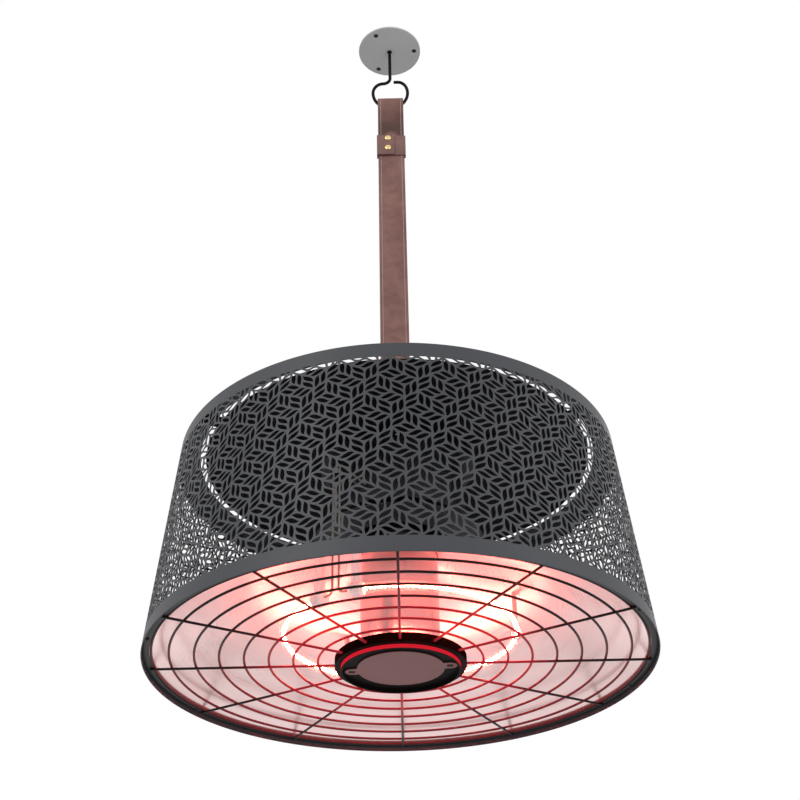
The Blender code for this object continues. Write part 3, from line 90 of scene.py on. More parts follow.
class Graph:
    """A material's node tree, with short ways to add to it."""

    def __init__(self, material):
        self.material = material
        self.tree = material.node_tree
        self.shader = self.tree.nodes["Principled BSDF"]
        self.place = self.coordinates("Object")

    @classmethod
    def new(cls, name, roughness=0.5, metallic=0.0, **sockets):
        """The graph of a new material. A shader input is named with _ in place of a space."""
        material = bpy.data.materials.new(name)
        material.use_nodes = True
        g = cls(material)
        for socket, value in {"Roughness": roughness, "Metallic": metallic, **sockets}.items():
            g.shader.inputs[socket.replace("_", " ")].default_value = value
        return g

    def feed(self, socket, value):
        """Gives a socket a value, or a link from another node's output."""
        if isinstance(value, bpy.types.NodeSocket):
            self.tree.links.new(value, socket)
        else:
            socket.default_value = value

    def add(self, kind, inputs=(), **settings):
        """A node with its settings and its inputs."""
        node = self.tree.nodes.new(kind)
        for name, value in settings.items():
            setattr(node, name, value)
        for socket, value in dict(inputs).items():
            self.feed(node.inputs[socket], value)
        return node

    def coordinates(self, kind):
        return self.add("ShaderNodeTexCoord").outputs[kind]

    def math(self, operation, a, b=0.0):
        return self.add("ShaderNodeMath", {0: a, 1: b}, operation=operation).outputs[0]

    def plus(self, a, b):
        return self.math("ADD", a, b)

    def times(self, a, b):
        return self.math("MULTIPLY", a, b)

    def average(self, first, second, share):
        """The first value's share plus the rest of the second."""
        return self.plus(self.times(first, share), self.times(second, 1 - share))

    def split(self, vector=None):
        return self.add("ShaderNodeSeparateXYZ", {0: vector or self.place}).outputs

    def radius(self):
        """The distance from the Z axis."""
        x, y, _ = self.split()
        return self.math("SQRT", self.plus(self.times(x, x), self.times(y, y)))

    def stretched(self, scales):
        """Object coordinates, each times its scale."""
        inputs = {0: self.place, 1: scales}
        return self.add("ShaderNodeVectorMath", inputs, operation="MULTIPLY").outputs[0]

    def round_the_axis(self, scales):
        """Coordinates (radius, height, angle) about the Z axis, each times its scale."""
        x, y, z = self.split()
        turn = self.math("ARCTAN2", y, x)
        parts = [self.times(part, scale) for part, scale in zip((self.radius(), z, turn), scales)]
        return self.add("ShaderNodeCombineXYZ", dict(enumerate(parts))).outputs[0]

    def noise(self, scale, detail=3.0, vector=None):
        inputs = {"Vector": vector or self.place, "Scale": scale, "Detail": detail}
        return self.add("ShaderNodeTexNoise", inputs).outputs["Fac"]

    def cells(self, scale):
        inputs = {"Vector": self.place, "Scale": scale}
        return self.add("ShaderNodeTexVoronoi", inputs).outputs["Distance"]

    def spread(self, value, low=0, high=1, start=0.3, end=0.7):
        """Value from start to end becomes low to high."""
        inputs = {"Value": value, "From Min": start, "From Max": end, "To Min": low, "To Max": high}
        return self.add("ShaderNodeMapRange", inputs).outputs[0]

    def blend(self, value, first, second, kind="MIX"):
        """Two colours mixed by a value that runs from 0 to 1."""
        inputs = {0: value, 6: opaque(first), 7: opaque(second)}
        return self.add("ShaderNodeMix", inputs, data_type="RGBA", blend_type=kind).outputs[2]

    def colour(self, value):
        self.feed(self.shader.inputs["Base Color"], value)

    def roughness(self, value):
        self.feed(self.shader.inputs["Roughness"], value)

    def emit(self, colour, strength):
        self.feed(self.shader.inputs["Emission Color"], colour)
        self.feed(self.shader.inputs["Emission Strength"], strength)

    def bump(self, height, distance, strength=1.0):
        inputs = {"Height": height, "Distance": distance, "Strength": strength}
        self.feed(self.shader.inputs["Normal"], self.add("ShaderNodeBump", inputs).outputs[0])


def coated(name, dark, light, roughness, grain, depth, gloss=0.5):
    """Powder coat or moulded plastic: a fine pebbled skin with slight clouding."""
    g = Graph.new(name, roughness, Specular_IOR_Level=gloss)
    cloud = g.noise(9.0, detail=4.0)
    fine = g.noise(grain, detail=2.0)
    g.colour(g.blend(g.spread(g.average(cloud, fine, 0.6)), dark, light))
    g.roughness(g.spread(fine, roughness - 0.06, roughness + 0.08))
    g.bump(fine, depth)
    return g.material


def brushed(name, dark, light, roughness, across, around=False):
    """Metal with fine drawn lines, round the Z axis or straight."""
    g = Graph.new(name, roughness, metallic=1.0)
    lines = g.noise(1.0, vector=g.round_the_axis(across) if around else g.stretched(across))
    cloud = g.noise(14.0)
    g.colour(g.blend(g.spread(lines), dark, light))
    clouded = g.spread(cloud, roughness - 0.03, roughness + 0.04)
    g.roughness(g.plus(g.spread(lines, -0.04, 0.05), clouded))
    g.bump(lines, 2e-5)
    return g.material


# Colour of the painted shade on the strap's bend above the keeper.
PAINTED_SHADE_COLOUR = (0.040, 0.013, 0.009)


def leather(name, dark, light, painted_shade_height=None):
    """Grained leather. Painted shade, if its height is given, darkens an arched band from that height
    upwards.
    """
    g = Graph.new(name, 0.5, Coat_Weight=0.05, Specular_IOR_Level=0.35)
    pebble = g.cells(620.0)
    fine = g.noise(1500.0)
    cloud = g.noise(26.0, detail=4.0)
    worn = g.noise(90.0, detail=5.0)
    base = g.blend(g.spread(g.average(cloud, worn, 0.55), start=0.36, end=0.64), dark, light)
    if painted_shade_height:
        x, _, z = g.split()
        arch = g.plus(z, g.times(g.times(x, x), 60.0))
        rise = g.spread(arch, 0, 1, painted_shade_height - 0.012, painted_shade_height - 0.002)
        fall = g.spread(z, 1, 0, painted_shade_height + 0.008, painted_shade_height + 0.052)
        # Painted shade: an arched band is darkened towards this colour.
        base = g.blend(g.times(g.times(rise, fall), 0.85), base, PAINTED_SHADE_COLOUR)
    pores = g.spread(pebble, 0.72, 1.0, 0.1, 0.5)
    g.colour(g.blend(1.0, base, pores, kind="MULTIPLY"))
    g.roughness(g.spread(worn, 0.42, 0.62))
    g.bump(g.average(pebble, fine, 0.7), 0.00025, 0.8)
    return g.material


def thread(name, dark, light):
    """Twisted sewing thread."""
    g = Graph.new(name, 0.7)
    inputs = {"Vector": g.stretched((900.0, 900.0, 1400.0)), "Scale": 1.0, "Distortion": 1.0}
    twist = g.add("ShaderNodeTexWave", inputs).outputs["Fac"]
    g.colour(g.blend(twist, dark, light))
    g.bump(twist, 0.0001)
    return g.material


def woven(name, dark, light):
    """A braided glass sleeve."""
    g = Graph.new(name, 0.85)
    inputs = {"Vector": g.place, "Scale": 1600.0}
    checks = g.add("ShaderNodeTexChecker", inputs).outputs["Fac"]
    g.colour(g.blend(g.average(checks, g.noise(60.0), 0.6), dark, light))
    g.bump(checks, 0.0002, 0.6)
    return g.material


def glow(name, dull, bright, strength):
    """A hot surface, clouded from a dull to a bright colour."""
    g = Graph.new(name, 0.35)
    heat = g.blend(g.spread(g.noise(40.0)), dull, bright)
    g.colour(heat)
    g.emit(heat, strength)
    return g.material


def quartz(name):
    """A thin clear tube, filled by the light of the coil in it."""
    g = Graph.new(name, 0.1, Base_Color=(0.6, 0.3, 0.28, 1), Specular_IOR_Level=0.1, Alpha=0.16)
    dust = g.noise(220.0)
    g.emit(g.blend(g.spread(dust), (1.0, 0.05, 0.035), (1.0, 0.07, 0.05)), 4.0)
    g.roughness(g.spread(dust, 0.08, 0.14))
    return g.material


LAMP_CLOSE = (0.150, 0.190)


def light_up(material, colour, near, far, share, faces="all"):
    """Red lamp light round the Z axis: full within the near radius, down to a share at the far one.

    It falls on all faces, on the ones that look down ("below"), or on the ones turned to the
    axis and all that are close to the lamp ("inward").
    """
    g = Graph(material)
    radius = g.radius()
    fade = g.spread(radius, 1.0, share, near, far)
    if faces == "inward":
        x, y, _ = g.split()
        normal_x, normal_y, _ = g.split(g.coordinates("Normal"))
        outward = g.plus(g.times(x, normal_x), g.times(y, normal_y))
        inward = g.spread(g.math("DIVIDE", outward, radius), 1.0, 0.0, -0.9, 0.1)
        close = g.spread(radius, 1.0, 0.0, *LAMP_CLOSE)
        fade = g.times(fade, g.math("MAXIMUM", inward, close))
    if faces == "below":
        up = g.split(g.coordinates("Normal"))[2]
        under = g.spread(up, 1.0, 0.0, -0.1, 0.1)
        fade = g.times(fade, under)
        # The pink of the dish's base colour is painted lamp reflection too: faces that look up get it greyed
        # out.
        tone = g.shader.inputs["Base Color"].links[0].from_socket
        grey = g.add("ShaderNodeHueSaturation", {"Saturation": 0.0, "Color": tone}).outputs[0]
        g.colour(g.blend(under, grey, tone))
    g.emit(g.blend(fade, (0, 0, 0), colour), 1.0)


# look: material, darkest colour, lightest colour, roughness, grain scale, grain depth, gloss
COATED = {
    "black_steel": ("black_coat", (0.010, 0.008, 0.008), (0.018, 0.015, 0.015), 0.42, 1400, 4e-5, 0.28),
    "plate_grey": ("plate_coat", (0.38, 0.38, 0.385), (0.46, 0.46, 0.465), 0.5, 900, 4e-5),
    "shade_powder_coat": ("shade_coat", (0.038, 0.039, 0.045), (0.047, 0.049, 0.056), 0.48, 1700, 6e-5, 0.34),
    "hub_plastic": ("hub_moulded", (0.0035, 0.0020, 0.0020), (0.006, 0.0036, 0.0036), 0.55, 800, 2e-5, 0.05),
    # The hub body's upright side wall: a darker, glossless copy of its plastic, as painted shade.
    "hub_shaded_side": ("hub_shaded_side_moulded", (0.0019, 0.0018, 0.0018), (0.0029, 0.0027, 0.0027), 0.6, 800, 2e-5, 0.0),
    # The cover's rim wall: a lighter, glossier copy of the plastic that glows red, as painted lamp
    # reflection.
    "hub_lamp_lit_edge": ("hub_lamp_lit_edge_moulded", (0.006, 0.0034, 0.0034), (0.010, 0.006, 0.006), 0.2, 800, 2e-5, 0.1),
    "badge_plastic": ("badge_moulded", (0.182, 0.063, 0.063), (0.238, 0.086, 0.086), 0.45, 1200, 4e-5, 0.3),
    "guard": ("guard_coat", (0.004, 0.004, 0.004), (0.008, 0.008, 0.008), 0.4, 1400, 2e-5, 0.2),
    "matt_black": ("matt_black_coat", (0.005, 0.005, 0.005), (0.009, 0.009, 0.009), 0.6, 1400, 1e-5, 0.06),
    "blackened": ("black_zinc", (0.012, 0.010, 0.010), (0.020, 0.017, 0.017), 0.4, 1200, 2e-5, 0.3),
    "ceramic": ("fired_ceramic", (0.72, 0.70, 0.64), (0.86, 0.84, 0.78), 0.5, 900, 8e-5),
    "board_green": ("board_laminate", (0.02, 0.12, 0.04), (0.04, 0.2, 0.08), 0.4, 300, 3e-5),
    "relay_blue": ("relay_moulded", (0.02, 0.06, 0.22), (0.04, 0.10, 0.30), 0.35, 500, 3e-5),
    "white_plastic": ("white_moulded", (0.68, 0.68, 0.66), (0.78, 0.78, 0.76), 0.45, 500, 3e-5),
    "wire_silicone": ("silicone_jacket", (0.35, 0.03, 0.02), (0.45, 0.05, 0.03), 0.5, 500, 3e-5),
    "black_nylon": ("nylon_moulded", (0.014, 0.014, 0.015), (0.022, 0.022, 0.023), 0.48, 900, 6e-5),
}
ZINC = ((0.42, 0.43, 0.45), (0.62, 0.63, 0.64), 0.34, (400, 400, 60))
# look: material, darkest colour, lightest colour, roughness, scales of the lines, whether they
# run round the axis
BRUSHED = {
    "zinc_steel": ("zinc_plate", *ZINC),
    "lit_zinc": ("lit_zinc_plate", *ZINC),
    # A darker copy of the zinc for parts inside the shade: painted shade.
    "dull_zinc": ("dull_zinc_plate", (0.045, 0.044, 0.046), (0.075, 0.073, 0.075), 0.5, (400, 400, 60)),
    "brass": ("stud_brass", (0.72, 0.50, 0.20), (0.90, 0.70, 0.36), 0.22, (300, 300, 900)),
    "polished_aluminium": ("aluminium_sheet", (0.78, 0.78, 0.79), (0.88, 0.88, 0.88), 0.28, (500, 500, 30)),
    # The dish's pink colour is painted red lamp reflection on aluminium.
    "dish": ("dish_polish", (0.90, 0.76, 0.75), (0.97, 0.84, 0.83), 0.30, (700, 5, 1.2), True),
    # The column's reddish tint is painted lamp reflection on aluminium.
    "column": ("column_polish", (0.52, 0.42, 0.42), (0.61, 0.50, 0.50), 0.18, (5, 1800, 1), True),
}
# look: colour of the lamp's light on it, near radius, far radius, share at the far one, faces
LIT = {
    "ceramic": ((0.30, 0.16, 0.15), 0.15, 0.20, 0.0),
    "lit_zinc": ((0.34, 0.16, 0.15), 0.15, 0.20, 0.0),
    "dish": ((0.13, 0.045, 0.042), 0.20, 0.30, 0.9, "below"),
    "guard": ((0.28, 0.003, 0.012), 0.16, 0.29, 0.4, "inward"),
    "hub_lamp_lit_edge": ((0.62, 0.012, 0.026), 0.068, 0.069, 1.0),
}
LOOKS = {
    # The strap gets painted shade on its bend above the keeper.
    "brown_leather": leather("strap_leather", (0.136, 0.060, 0.051), (0.226, 0.108, 0.092), -0.182),
    "keeper_leather": leather("keeper_leather", (0.124, 0.062, 0.054), (0.205, 0.103, 0.089)),
    "thread": thread("strap_thread", (0.42, 0.29, 0.27), (0.56, 0.42, 0.39)),
    "lead_sleeve": woven("lead_braid", (0.22, 0.20, 0.17), (0.34, 0.32, 0.28)),
    "lamp_glow": quartz("lamp_quartz"),
    "filament": glow("lamp_filament", (1.0, 0.055, 0.035), (1.0, 0.09, 0.06), 330.0),
    **{look: coated(*facts) for look, facts in COATED.items()},
    **{look: brushed(*facts) for look, facts in BRUSHED.items()},
}
for lit_look, lamp_facts in LIT.items():
    light_up(LOOKS[lit_look], *lamp_facts)


# Shapes


def rim(z):
    """A height of the rim frame as a height of the world."""
    return RIM_Z + z


def raised(profile):
    """A profile of the rim frame moved to the world's heights."""
    return [(r, rim(z)) for r, z in profile]


def polar(radius, angle):
    return radius * math.cos(angle), radius * math.sin(angle)


def arc(centre, reach, rise, start, end, steps):
    """Points of an elliptic arc about a centre, angles in degrees, both ends included."""
    angles = [math.radians(start + (end - start) * i / steps) for i in range(steps + 1)]
    return [(centre[0] + reach * math.cos(a), centre[1] + rise * math.sin(a)) for a in angles]


def softened(points, radius, steps=3, closed=True):
    """The outline with each corner rounded. The two ends of an open one keep their place."""
    made = []
    count = len(points)
    for i, (x, y) in enumerate(points):
        if not closed and i in (0, count - 1):
            made.append((x, y))
            continue
        here, before, after = Vector((x, y)), Vector(points[i - 1]), Vector(points[(i + 1) % count])
        back, ahead = before - here, after - here
        reach = min(radius, back.length / 2.2, ahead.length / 2.2)
        a, b = here + back.normalized() * reach, here + ahead.normalized() * reach
        for k in range(steps + 1):
            t = k / steps
            made.append(tuple(a.lerp(here, t).lerp(here.lerp(b, t), t)))
    return made


def skin(shape, rings, closed=False):
    """Faces between rings of vertices, with flat ends unless the last ring joins the first."""
    pairs = list(zip(rings, rings[1:]))
    if closed:
        pairs.append((rings[-1], rings[0]))
    else:
        shape.faces.new(rings[0])
        shape.faces.new(rings[-1])
    for a, b in pairs:
        for i in range(len(a)):
            j = (i + 1) % len(a)
            shape.faces.new((a[i], a[j], b[j], b[i]))


def turned(shape, profile, steps, place=Matrix.Identity(4)):
    """A half section turned about the local Z axis. One that starts on the axis ends on it too."""
    on_axis = 1e-9
    angles = [math.tau * i / steps for i in range(steps)]
    rings = []
    for radius, height in profile:
        if radius > on_axis:
            points = [Vector((*polar(radius, a), height)) for a in angles]
            rings.append([shape.verts.new(place @ p) for p in points])
    skin(shape, rings, closed=profile[0][0] > on_axis)


def tube(shape, path, radius, sides, closed=False):
    """A round bar along a path, with flat ends unless it is closed.

    Its radius is one number, or a list with one for each point.
    """
    points = [Vector(p) for p in path]
    last = len(points) - 1
    turns = [math.tau * k / sides for k in range(sides)]
    side = None
    rings = []
    for i, point in enumerate(points):
        before = points[i - 1] if i or closed else point
        after = points[(i + 1) % len(points)] if i < last or closed else point
        heading = (after - before).normalized()
        if side is None:
            side = heading.orthogonal()
        side = (side - side.dot(heading) * heading).normalized()
        other = heading.cross(side)
        size = radius[i] if isinstance(radius, list) else radius
        ring = [point + size * (math.cos(t) * side + math.sin(t) * other) for t in turns]
        rings.append([shape.verts.new(p) for p in ring])
    skin(shape, rings, closed)


def prism(shape, outline, low, high, place=Matrix.Identity(4)):
    """An outline in the local XY plane, drawn out between two local heights."""
    ends = [[place @ Vector((x, y, z)) for x, y in outline] for z in (low, high)]
    skin(shape, [[shape.verts.new(p) for p in end] for end in ends])


# Objects


def linked(name, data):
    """A new object in the scene."""
    obj = bpy.data.objects.new(name, data)
    bpy.context.scene.collection.objects.link(obj)
    return obj


def mesh_of(name, shape):
    """A shape's mesh. The shape itself is gone after it."""
    mesh = bpy.data.meshes.new(name)
    shape.to_mesh(mesh)
    shape.free()
    return mesh


def smoothed(mesh, angle):
    """Smooth shading, with edges over an angle in degrees kept sharp."""
    mesh.shade_smooth()
    mesh.set_sharp_from_angle(angle=math.radians(angle))


def piece(name, shape, look, body, slot, *nodes, angle=35):
    """Makes a shape into an object that rides a body and stands for CAD nodes."""
    bmesh.ops.recalc_face_normals(shape, faces=shape.faces)
    mesh = mesh_of(name, shape)
    smoothed(mesh, angle)
    mesh.materials.append(LOOKS[look])
    obj = linked(name, mesh)
    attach(obj, body)
    if nodes:
        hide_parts(*nodes)
    return obj


def carve(obj, name, maker):
    """Cuts a helper shape out of a piece for good."""
    shape = bmesh.new()
    maker(shape)
    bmesh.ops.recalc_face_normals(shape, faces=shape.faces)
    helper = linked(name, mesh_of(name, shape))
    modifier = obj.modifiers.new(name, "BOOLEAN")
    modifier.operation = "DIFFERENCE"
    modifier.solver = "EXACT"
    modifier.object = helper
    graph = bpy.context.evaluated_depsgraph_get()
    made = bpy.data.meshes.new_from_object(obj.evaluated_get(graph))
    obj.modifiers.clear()
    obj.data = made
    smoothed(made, 35)
    bpy.data.objects.remove(helper, do_unlink=True)


def drill(obj, name, spots, radius, low, high):
    """Round holes through a piece of the heater, between two heights of the rim frame."""
    pin = raised([(0, low), (radius, low), (radius, high), (0, high)])

    def pins(cutter):
        for x, y in spots:
            turned(cutter, pin, 24, Matrix.Translation((x, y, 0)))

    carve(obj, name, pins)


def bevelled(obj, width, segments=2):
    """Rounds a piece's sharp edges."""
    modifier = obj.modifiers.new("edges", "BEVEL")
    modifier.width = width
    modifier.segments = segments
    modifier.limit_method = "ANGLE"
    modifier.angle_limit = math.radians(40)


# Screws

SHANK = 0.0015
SCREW_HOLE = 0.0018
CROSS_HALF, CROSS_TURN = 0.0003, 0.3
RIM_SCREW_SPOTS = [polar(0.294322, math.radians(-28 + 45 * i)) for i in range(8)]
# nodes, how many, head radius, head height, whether the head is at the bottom, look
SCREW_GROUPS = (
    ("rim_screw", 8, 0.0022, 0.0013, True, "blackened"),
    ("housing_screw", 3, 0.003, 0.0015, False, "zinc_steel"),
    ("spider_screw", 3, 0.003, 0.0015, False, "zinc_steel"),
)


def cross(obj, place, reach, low, high):
    """A cross recess cut into a screw's head."""

    def plus(cutter):
        arm = [(reach, -CROSS_HALF), (reach, CROSS_HALF), (CROSS_HALF, CROSS_HALF)]
        outline = []
        for _ in range(4):
            outline += arm
            arm = [(-y, x) for x, y in arm]
        prism(cutter, outline, low, high, place @ Matrix.Rotation(CROSS_TURN, 4, "Z"))

    carve(obj, obj.name + "_recess", plus)


def screws():
    """Pan-head screws in place of the plain CAD ones, as long as those."""
    for group, count, head, height, below, look in SCREW_GROUPS:
        for number in range(1, count + 1):
            low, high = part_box(f"{group}_{number}")
            middle = (low + high) / 2
            top = Matrix.Translation((middle.x, middle.y, low.z if below else high.z))
            place = top @ Matrix.Rotation(0 if below else math.pi, 4, "X")
            length = high.z - low.z
            dome = [(0, 0), (head * 0.5, 0.0001), (head * 0.85, height * 0.3), (head, height * 0.7)]
            shank = [(SHANK, height), (SHANK, length - 0.0006), (0.0009, length), (0, length)]
            shape = bmesh.new()
            turned(shape, [*dome, (head, height), *shank], 28, place)
            name = f"{group}_head_{number}"
            obj = piece(name, shape, look, "heater", "zinc_steel", f"{group}_{number}")
            cross(obj, place, head * 0.6, -0.001, height * 0.5)


# Ceiling plate and hook

PLATE_RADIUS, PLATE_THICK = 0.05, 0.003
PLATE_SCREW_SPOTS = [(*polar(0.040, math.radians(-2 + 120 * i)), 0) for i in range(3)]


def ceiling_plate():
    """A round plate with three countersunk screws."""
    shape = bmesh.new()
    outline = [(0, 0), (PLATE_RADIUS, 0), (PLATE_RADIUS, -PLATE_THICK), (0, -PLATE_THICK)]
    turned(shape, softened(outline, 0.0006, 3, closed=False), 96)
    plate = piece("plate_disc", shape, "plate_grey", "ceiling_mount", "plate_grey", "ceiling_plate")
    countersink = [(0, 0.001), (0.0027, 0.001), (0.0027, -0.0018),
                   (0.0040, -0.0031), (0.0040, -0.005), (0, -0.005)]

    def holes(cutter):
        for spot in PLATE_SCREW_SPOTS:
            turned(cutter, countersink, 32, Matrix.Translation(spot))

    carve(plate, "plate_holes", holes)
    for number, spot in enumerate(PLATE_SCREW_SPOTS, 1):
        shape = bmesh.new()
        place = Matrix.Translation(spot)
        outline = [(0, -0.0003), (0.0023, -0.0003), (0.0023, -0.0018), (0.0037, -0.0029), (0, -0.0029)]
        turned(shape, outline, 32, place)
        screw = piece(f"plate_screw_{number}", shape, "blackened", "ceiling_mount", "black_steel")
        cross(screw, place, 0.0016, -0.004, -0.0023)


def hook():
    """One bent rod: shank, bend to the left, open bowl and a blunt tip over the strap."""
    rod, weld = 0.0025, [0.0041, 0.0029]
    top = -0.0033
    bend_side, bend_drop = 0.0115, 0.012
    shoulder_drop, crown_rise = 0.0215, 0.0245
    bend_top = top - 0.0622
    widest = bend_top - bend_drop - shoulder_drop
    bend = arc((-bend_side, bend_top), bend_side, bend_drop, 0, -90, 14)
    shoulder = arc((-bend_side, widest), 0.016, shoulder_drop, 90, 180, 14)
    bowl = arc((0, widest), 0.0275, 0.034, 180, 360, 40)
    crown = arc((0.0125, widest), 0.015, crown_rise, 0, 90, 14)
    tip = [(0.0062 - 0.0008 + 0.0008 * k, widest + crown_rise) for k in (1, 0.5, 0.2, 0)]
    shank = [(0, top), (0, top - 0.0012), (0, top - 0.0024)]
    path = [*shank, *bend, *shoulder[1:], *bowl[1:], *crown[1:], *tip]
    radii = weld + [rod] * (len(path) - 5) + [0.0024, 0.0020, 0.0012]
    shape = bmesh.new()
    tube(shape, [(x, 0, z) for x, z in path], radii, 20)
    piece("hook_rod", shape, "matt_black", "ceiling_mount", "black_steel", "ceiling_hook")


# Strap and keeper

STRAP_HALF, STRAP_THICK = 0.020, 0.002
LAYER_HALF_GAP = 0.0005
TOP_TAPER, FOOT_TAPER = 0.045, 0.035
FOOT_FOLD_RADIUS = 0.0043
INNER_SKIN, SEWN_IN = 0.0005, 0.0004
STITCH_X, GROOVE_HALF, GROOVE_DEPTH = 0.0157, 0.0008, 0.00022
STITCH_PITCH, STITCH_RUN = 0.0042, 0.0034
KEEPER_Z, KEEPER_HALF = SADDLE_Z - 0.0917, 0.0205
STUD_X, STUD_MIDDLE, STUD_STEP = -0.005, 0.0037, 0.01025


def strap_centre():
    """Closed line (y, z) along the inner face, from the top fold's crown and round."""

    def fold(radius, taper):
        points = arc((0, 0), radius, radius, 90, 0, 18)
        for i in range(1, 15):
            share = (1 + math.cos(math.pi * i / 14)) / 2
            points.append((LAYER_HALF_GAP + (radius - LAYER_HALF_GAP) * share, -taper * i / 14))
        return points

    sewn_reach = SADDLE_Z - BAR_Z - (TOP_TAPER + FOOT_TAPER)
    saddle = (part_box("hanging_strap")[1].z - SADDLE_Z) - STRAP_THICK
    top = [(y, SADDLE_Z + z) for y, z in fold(saddle, TOP_TAPER)]
    foot = [(y, BAR_Z - z) for y, z in fold(FOOT_FOLD_RADIUS, FOOT_TAPER)]
    middle = [(LAYER_HALF_GAP, SADDLE_Z - TOP_TAPER - sewn_reach * i / 60) for i in range(1, 60)]
    right = top + middle + foot[::-1]
    left = [(-y, z) for y, z in reversed(right[1:-1])]
    return right + left


def strap():
    """One loop of leather, with a stitch groove along both edges of its outer face."""
    line = [Vector(p) for p in strap_centre()]
    count = len(line)
    normals = []
    for i in range(count):
        heading = (line[(i + 1) % count] - line[i - 1]).normalized()
        normals.append(Vector((-heading.y, heading.x)))
    if normals[0].y < 0:
        normals = [-n for n in normals]
    half, thick = STRAP_HALF, STRAP_THICK
    groove = [(-GROOVE_HALF, thick), (0, thick - GROOVE_DEPTH), (GROOVE_HALF, thick)]
    section = [
        (-half + 0.0004, 0.0001), (-half + 0.0001, 0.0004), (-half, 0.001), (-half + 0.0003, 0.0017),
        (-half + 0.0008, thick), *[(x - STITCH_X, depth) for x, depth in groove],
        (-0.008, thick), (0, thick), (0.008, thick),
        *[(x + STITCH_X, depth) for x, depth in groove], (half - 0.0008, thick),
        (half - 0.0003, 0.0017), (half, 0.001), (half - 0.0001, 0.0004), (half - 0.0004, 0.0001),
        (0, 0),
    ]
    shape = bmesh.new()
    rings = []
    for point, normal in zip(line, normals):
        # Where the layers lie together, their inner faces move in to 0.1 mm from the middle.
        sewn = SEWN_IN * min(max(1.5 - abs(point.x) / 0.001, 0), 1)
        ring = []
        for x, depth in section:
            spot = point + normal * (depth if depth > INNER_SKIN else depth - sewn)
            ring.append(shape.verts.new((x, spot.x, spot.y)))
        rings.append(ring)
    skin(shape, rings, closed=True)
    piece("strap_loop", shape, "brown_leather", "strap", "brown_leather", "hanging_strap", angle=50)
    stitches(line, normals)


def stitches(line, normals):
    """Thread runs sewn along both edges, on the outer faces."""
    closed = line + [line[0]]
    lengths = [0.0]
    for a, b in zip(closed, closed[1:]):
        lengths.append(lengths[-1] + (b - a).length)

    def spot(distance):
        distance %= lengths[-1]
        i = next(k for k in range(len(lengths) - 1) if lengths[k + 1] >= distance)
        t = (distance - lengths[i]) / (lengths[i + 1] - lengths[i])
        normal = normals[i].lerp(normals[(i + 1) % len(line)], t).normalized()
        return closed[i].lerp(closed[i + 1], t), normal

    # share of the run, lift off the leather, radius
    humps = ((0, -0.0003, 0.0003), (0.2, 0.0, 0.00045), (0.5, 0.0001, 0.0005),
             (0.8, 0.0, 0.00045), (1, -0.0003, 0.0003))
    shape = bmesh.new()
    count = int(lengths[-1] / STITCH_PITCH)
    for k in range(count):
        for side in (-STITCH_X, STITCH_X):
            path = []
            for share, lift, _ in humps:
                point, normal = spot(k * lengths[-1] / count + STITCH_RUN * share)
                point = point + normal * (STRAP_THICK - 0.00015 + lift)
                path.append((side, point.x, point.y))
            tube(shape, path, [radius for _, _, radius in humps], 6)
    piece("strap_stitches", shape, "thread", "strap", "brown_leather")


def keeper():
    """A sleeve round both layers, with an overlapping flap and two studs at the front."""
    inner_w, inner_d, wall = STRAP_HALF + FIT, 0.0028, 0.0018
    side, front, back = inner_w + wall, -inner_d - wall, inner_d + wall
    outside = [(-side, front), (side, front), (side, back), (-side, back)]
    inside = [(-inner_w, -inner_d), (inner_w, -inner_d), (inner_w, inner_d), (-inner_w, inner_d)]
    outer, inner = softened(outside, 0.0022, 5), softened(inside, 0.0008, 5)
    half = KEEPER_HALF
    shape = bmesh.new()
    rings = []
    for loop, height, grow in (
        (inner, -half + 0.0003, 0), (outer, -half, -0.0004), (outer, -half + 0.0006, 0),
        (outer, half - 0.0006, 0), (outer, half, -0.0004), (inner, half - 0.0003, 0),
    ):
        scale_x, scale_y = 1 + grow / side, 1 + grow / back
        ring = [(x * scale_x, y * scale_y, KEEPER_Z + height) for x, y in loop]
        rings.append([shape.verts.new(p) for p in ring])
    skin(shape, rings, closed=True)
    piece("keeper_sleeve", shape, "keeper_leather", "keeper", "brown_leather", "strap_keeper", angle=50)
    flap = bmesh.new()
    low, high = front - wall, front - 0.0001
    left, right = -side + 0.0002, 0.005
    outline = [(left, -half), (right, -half), (right, half), (left, half)]
    place = Matrix.Translation((0, 0, KEEPER_Z)) @ OUT_OF_FRONT
    prism(flap, softened(outline, 0.0012, 4), -high, -low, place)
    obj = piece("keeper_flap", flap, "keeper_leather", "keeper", "brown_leather", angle=50)
    bevelled(obj, 0.0005, 3)
    dome = [(0, 0.0), (0.0047, 0.0), (0.0048, 0.0005), (0.0044, 0.0010),
            (0.0034, 0.00135), (0.0018, 0.0015), (0, 0.0015)]
    for number, height in enumerate((STUD_MIDDLE + STUD_STEP, STUD_MIDDLE - STUD_STEP), 1):
        stud = bmesh.new()
        turned(stud, dome, 40, Matrix.Translation((STUD_X, low, KEEPER_Z + height)) @ OUT_OF_FRONT)
        name = f"brass_stud_{number}"
        piece(name, stud, "brass", "keeper", "brass", f"keeper_stud_{number}", angle=50)


# Shade

SHADE_BOTTOM, SHADE_TOP, SHADE_TALL, WALL = 0.300, 0.275, 0.270, 0.0008
SHADE_STEPS = 236
SLANT = math.hypot(SHADE_TALL, SHADE_BOTTOM - SHADE_TOP)
SINE, COSINE = (SHADE_BOTTOM - SHADE_TOP) / SLANT, SHADE_TALL / SLANT
APEX = SHADE_BOTTOM / SINE
ARC_SCALE = APEX - SLANT / 2
HALF_TURN = math.pi * SINE * ARC_SCALE

